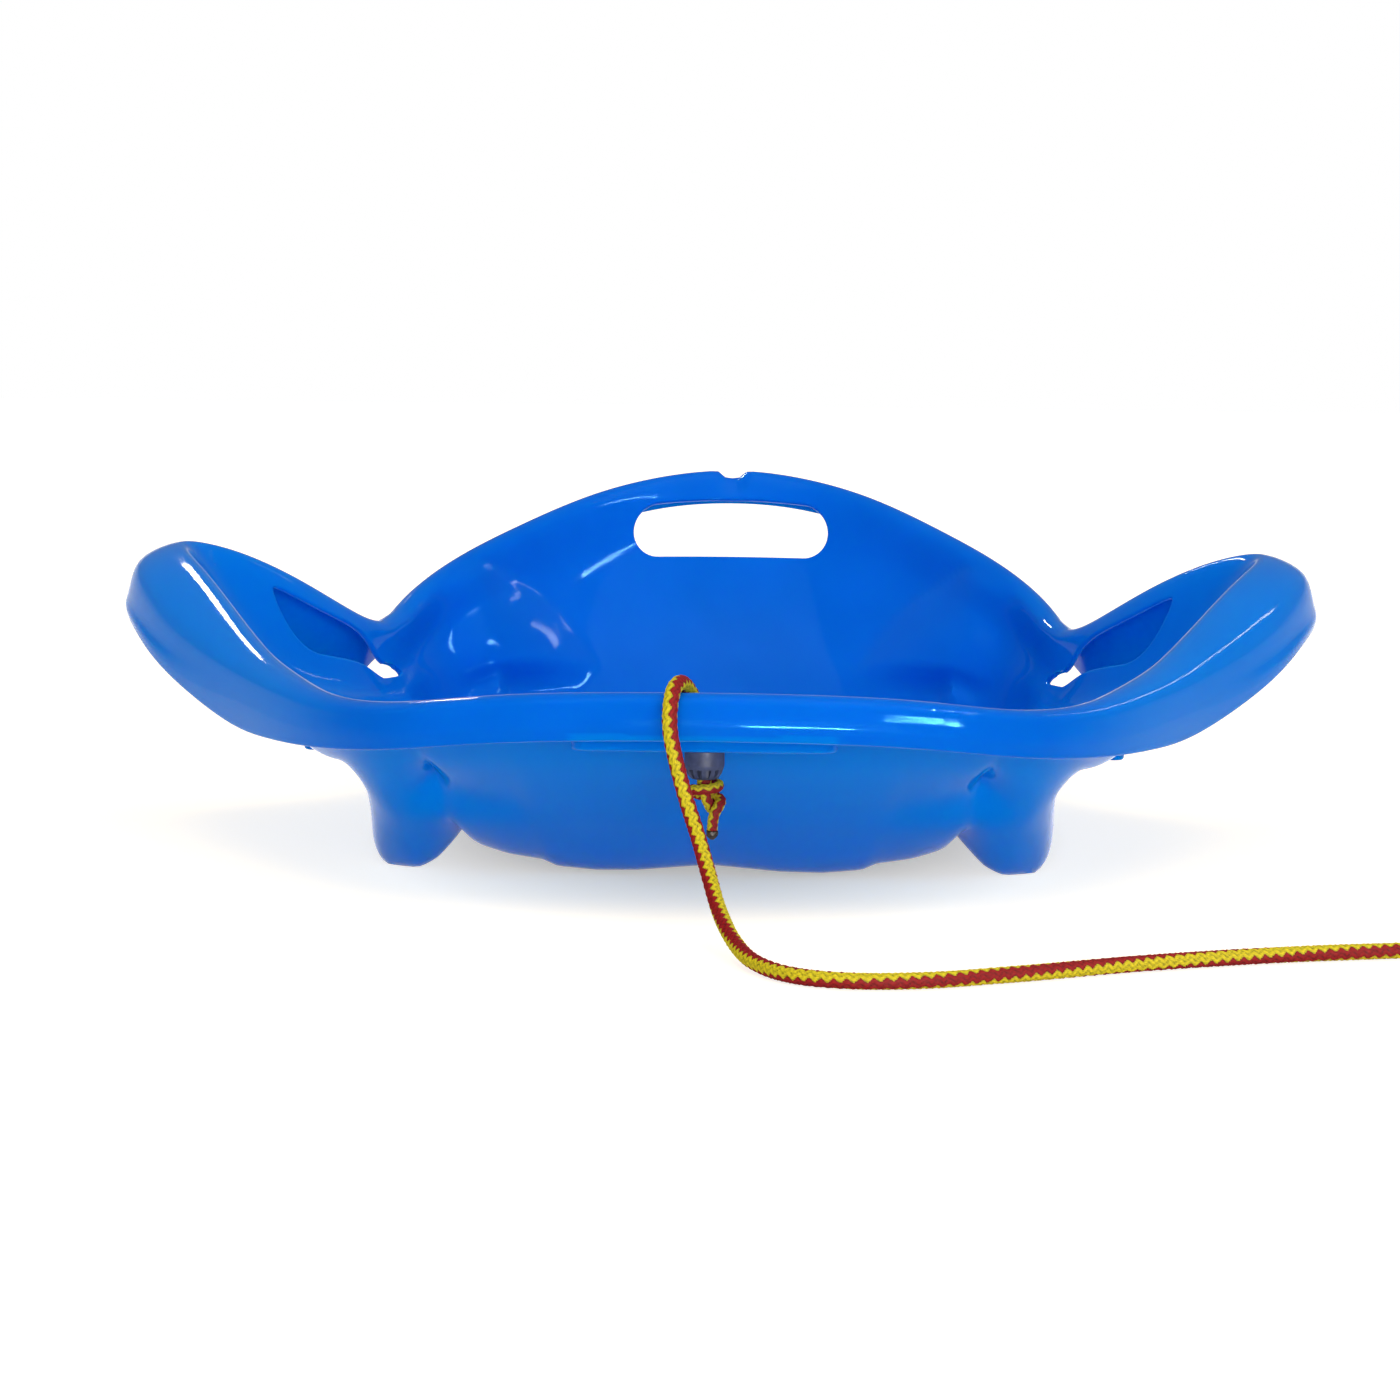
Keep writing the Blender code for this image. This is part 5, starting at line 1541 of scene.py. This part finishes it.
def add_camera(settings):
    """The camera at the photograph's place: a long lens, a little above the snow and a touch turned."""
    data = bpy.data.cameras.new("camera")
    data.sensor_width = SENSOR_WIDTH
    data.lens = settings.focal_length
    camera = bpy.data.objects.new("camera", data)
    bpy.context.scene.collection.objects.link(camera)
    forward = Vector((
        math.sin(CAMERA_YAW) * math.cos(CAMERA_PITCH),
        math.cos(CAMERA_YAW) * math.cos(CAMERA_PITCH),
        -math.sin(CAMERA_PITCH),
    ))
    right = Vector((math.cos(CAMERA_YAW), -math.sin(CAMERA_YAW), 0.0))
    up = right.cross(forward)
    turned_right = right * math.cos(CAMERA_ROLL) + up * math.sin(CAMERA_ROLL)
    turned_up = up * math.cos(CAMERA_ROLL) - right * math.sin(CAMERA_ROLL)
    axes = Matrix((turned_right, turned_up, -forward)).transposed().to_4x4()
    axes.translation = Vector(CAMERA_PLACE)
    camera.matrix_world = axes
    bpy.context.scene.camera = camera


def add_lamp(name, kind, place, target, power, size, size_y):
    data = bpy.data.lights.new(name, kind)
    data.energy = power
    if kind == "AREA":
        data.shape = "RECTANGLE"
        data.size = size
        data.size_y = size_y
    else:
        data.angle = size
    lamp = bpy.data.objects.new(name, data)
    bpy.context.scene.collection.objects.link(lamp)
    lamp.location = place
    lamp.rotation_euler = (Vector(target) - Vector(place)).to_track_quat("-Z", "Y").to_euler()
    return lamp


def add_gleam(name, place, target, brightness, size, size_y):
    """A lamp that only shows as a highlight on glossy surfaces: brightness is that of its face."""
    lamp = add_lamp(name, "AREA", place, target, brightness * math.pi * size * size_y, size, size_y)
    lamp.visible_diffuse = False


def studio_world():
    """Soft light all round, white at the horizon and dimmer overhead, in front of a plain white background.

    Camera and transmission rays see the white itself. Glossy rays see it near the horizon.
    """
    world = bpy.data.worlds.new("studio")
    tree = emptied_tree(world)
    path = node(tree, "LightPath")
    height = node(tree, "SeparateXYZ", {0: node(tree, "TexCoord").outputs["Generated"]}).outputs["Z"]
    strength = to_range(tree, height, *STUDIO_HEIGHTS, *STUDIO_LIGHT)
    low_down = to_range(tree, height, *STUDIO_HEIGHTS, 1.0, 0.0)
    mirrored = node(tree, "Math", {0: path.outputs["Is Glossy Ray"], 1: low_down}, operation="MULTIPLY")
    seen = seen_by(tree, path, "Is Camera Ray", "Is Transmission Ray")
    parts = {
        0: node(tree, "Math", {0: seen, 1: mirrored.outputs[0]}, operation="MAXIMUM").outputs[0],
        1: node(tree, "Background", {"Color": WHITE, "Strength": strength}).outputs[0],
        2: node(tree, "Background", {"Color": WHITE, "Strength": 1.0}).outputs[0],
    }
    node(tree, "OutputWorld", {0: node(tree, "MixShader", parts).outputs[0]})
    bpy.context.scene.world = world


class BOBSLED_OT_stage(bpy.types.Operator):
    """Adds the floor, the lamps and the camera"""

    bl_idname = "bobsled.add_stage"
    bl_label = "Add Stage"

    def execute(self, context):
        settings = context.scene.bobsled_stage
        add_camera(settings)
        corners = [(x * FLOOR_HALF, y * FLOOR_HALF, 0) for x, y in ((-1, -1), (1, -1), (1, 1), (-1, 1))]
        floor = mesh_object("floor", corners, [[0, 1, 2, 3]], floor_material(settings))
        floor.location.z = -FLOOR_DROP
        studio_world()
        for lamp in LAMPS:
            add_lamp(*lamp)
        for gleam in GLEAMS:
            add_gleam(*gleam)
        context.scene.view_settings.view_transform = "Standard"
        return {"FINISHED"}


class BOBSLED_PT_panel(bpy.types.Panel):
    """Sizes and colours of the bobsled"""

    bl_idname = "BOBSLED_PT_panel"
    bl_label = "Plastic Bobsled"
    bl_space_type = "VIEW_3D"
    bl_region_type = "UI"
    bl_category = "Bobsled"

    def draw(self, context):
        scene = context.scene
        for operator, group in STEPS:
            box = self.layout.box()
            box.operator(operator)
            settings = getattr(scene, group)
            for key in settings.bl_rna.properties.keys():
                if key not in ("rna_type", "name"):
                    box.prop(settings, key)


CLASSES = (
    ShellSettings,
    BushSettings,
    RopeSettings,
    StageSettings,
    BOBSLED_OT_rope,
    BOBSLED_OT_bush,
    BOBSLED_OT_shell,
    BOBSLED_OT_stage,
    BOBSLED_PT_panel,
)
GROUPS = {
    "bobsled_shell": ShellSettings,
    "bobsled_bush": BushSettings,
    "bobsled_rope": RopeSettings,
    "bobsled_stage": StageSettings,
}
STEPS = (
    ("bobsled.add_stage", "bobsled_stage"),
    ("bobsled.add_rope", "bobsled_rope"),
    ("bobsled.add_bush", "bobsled_bush"),
    ("bobsled.add_shell", "bobsled_shell"),
)


def register():
    for each in CLASSES:
        bpy.utils.register_class(each)
    for name, group in GROUPS.items():
        setattr(bpy.types.Scene, name, PointerProperty(type=group))


def unregister():
    for name in GROUPS:
        delattr(bpy.types.Scene, name)
    for each in reversed(CLASSES):
        bpy.utils.unregister_class(each)


def main():
    register()
    bpy.ops.bobsled.add_stage()
    bpy.ops.bobsled.add_rope()
    bpy.ops.bobsled.add_bush()
    bpy.ops.bobsled.add_shell()


if __name__ == "__main__":
    main()
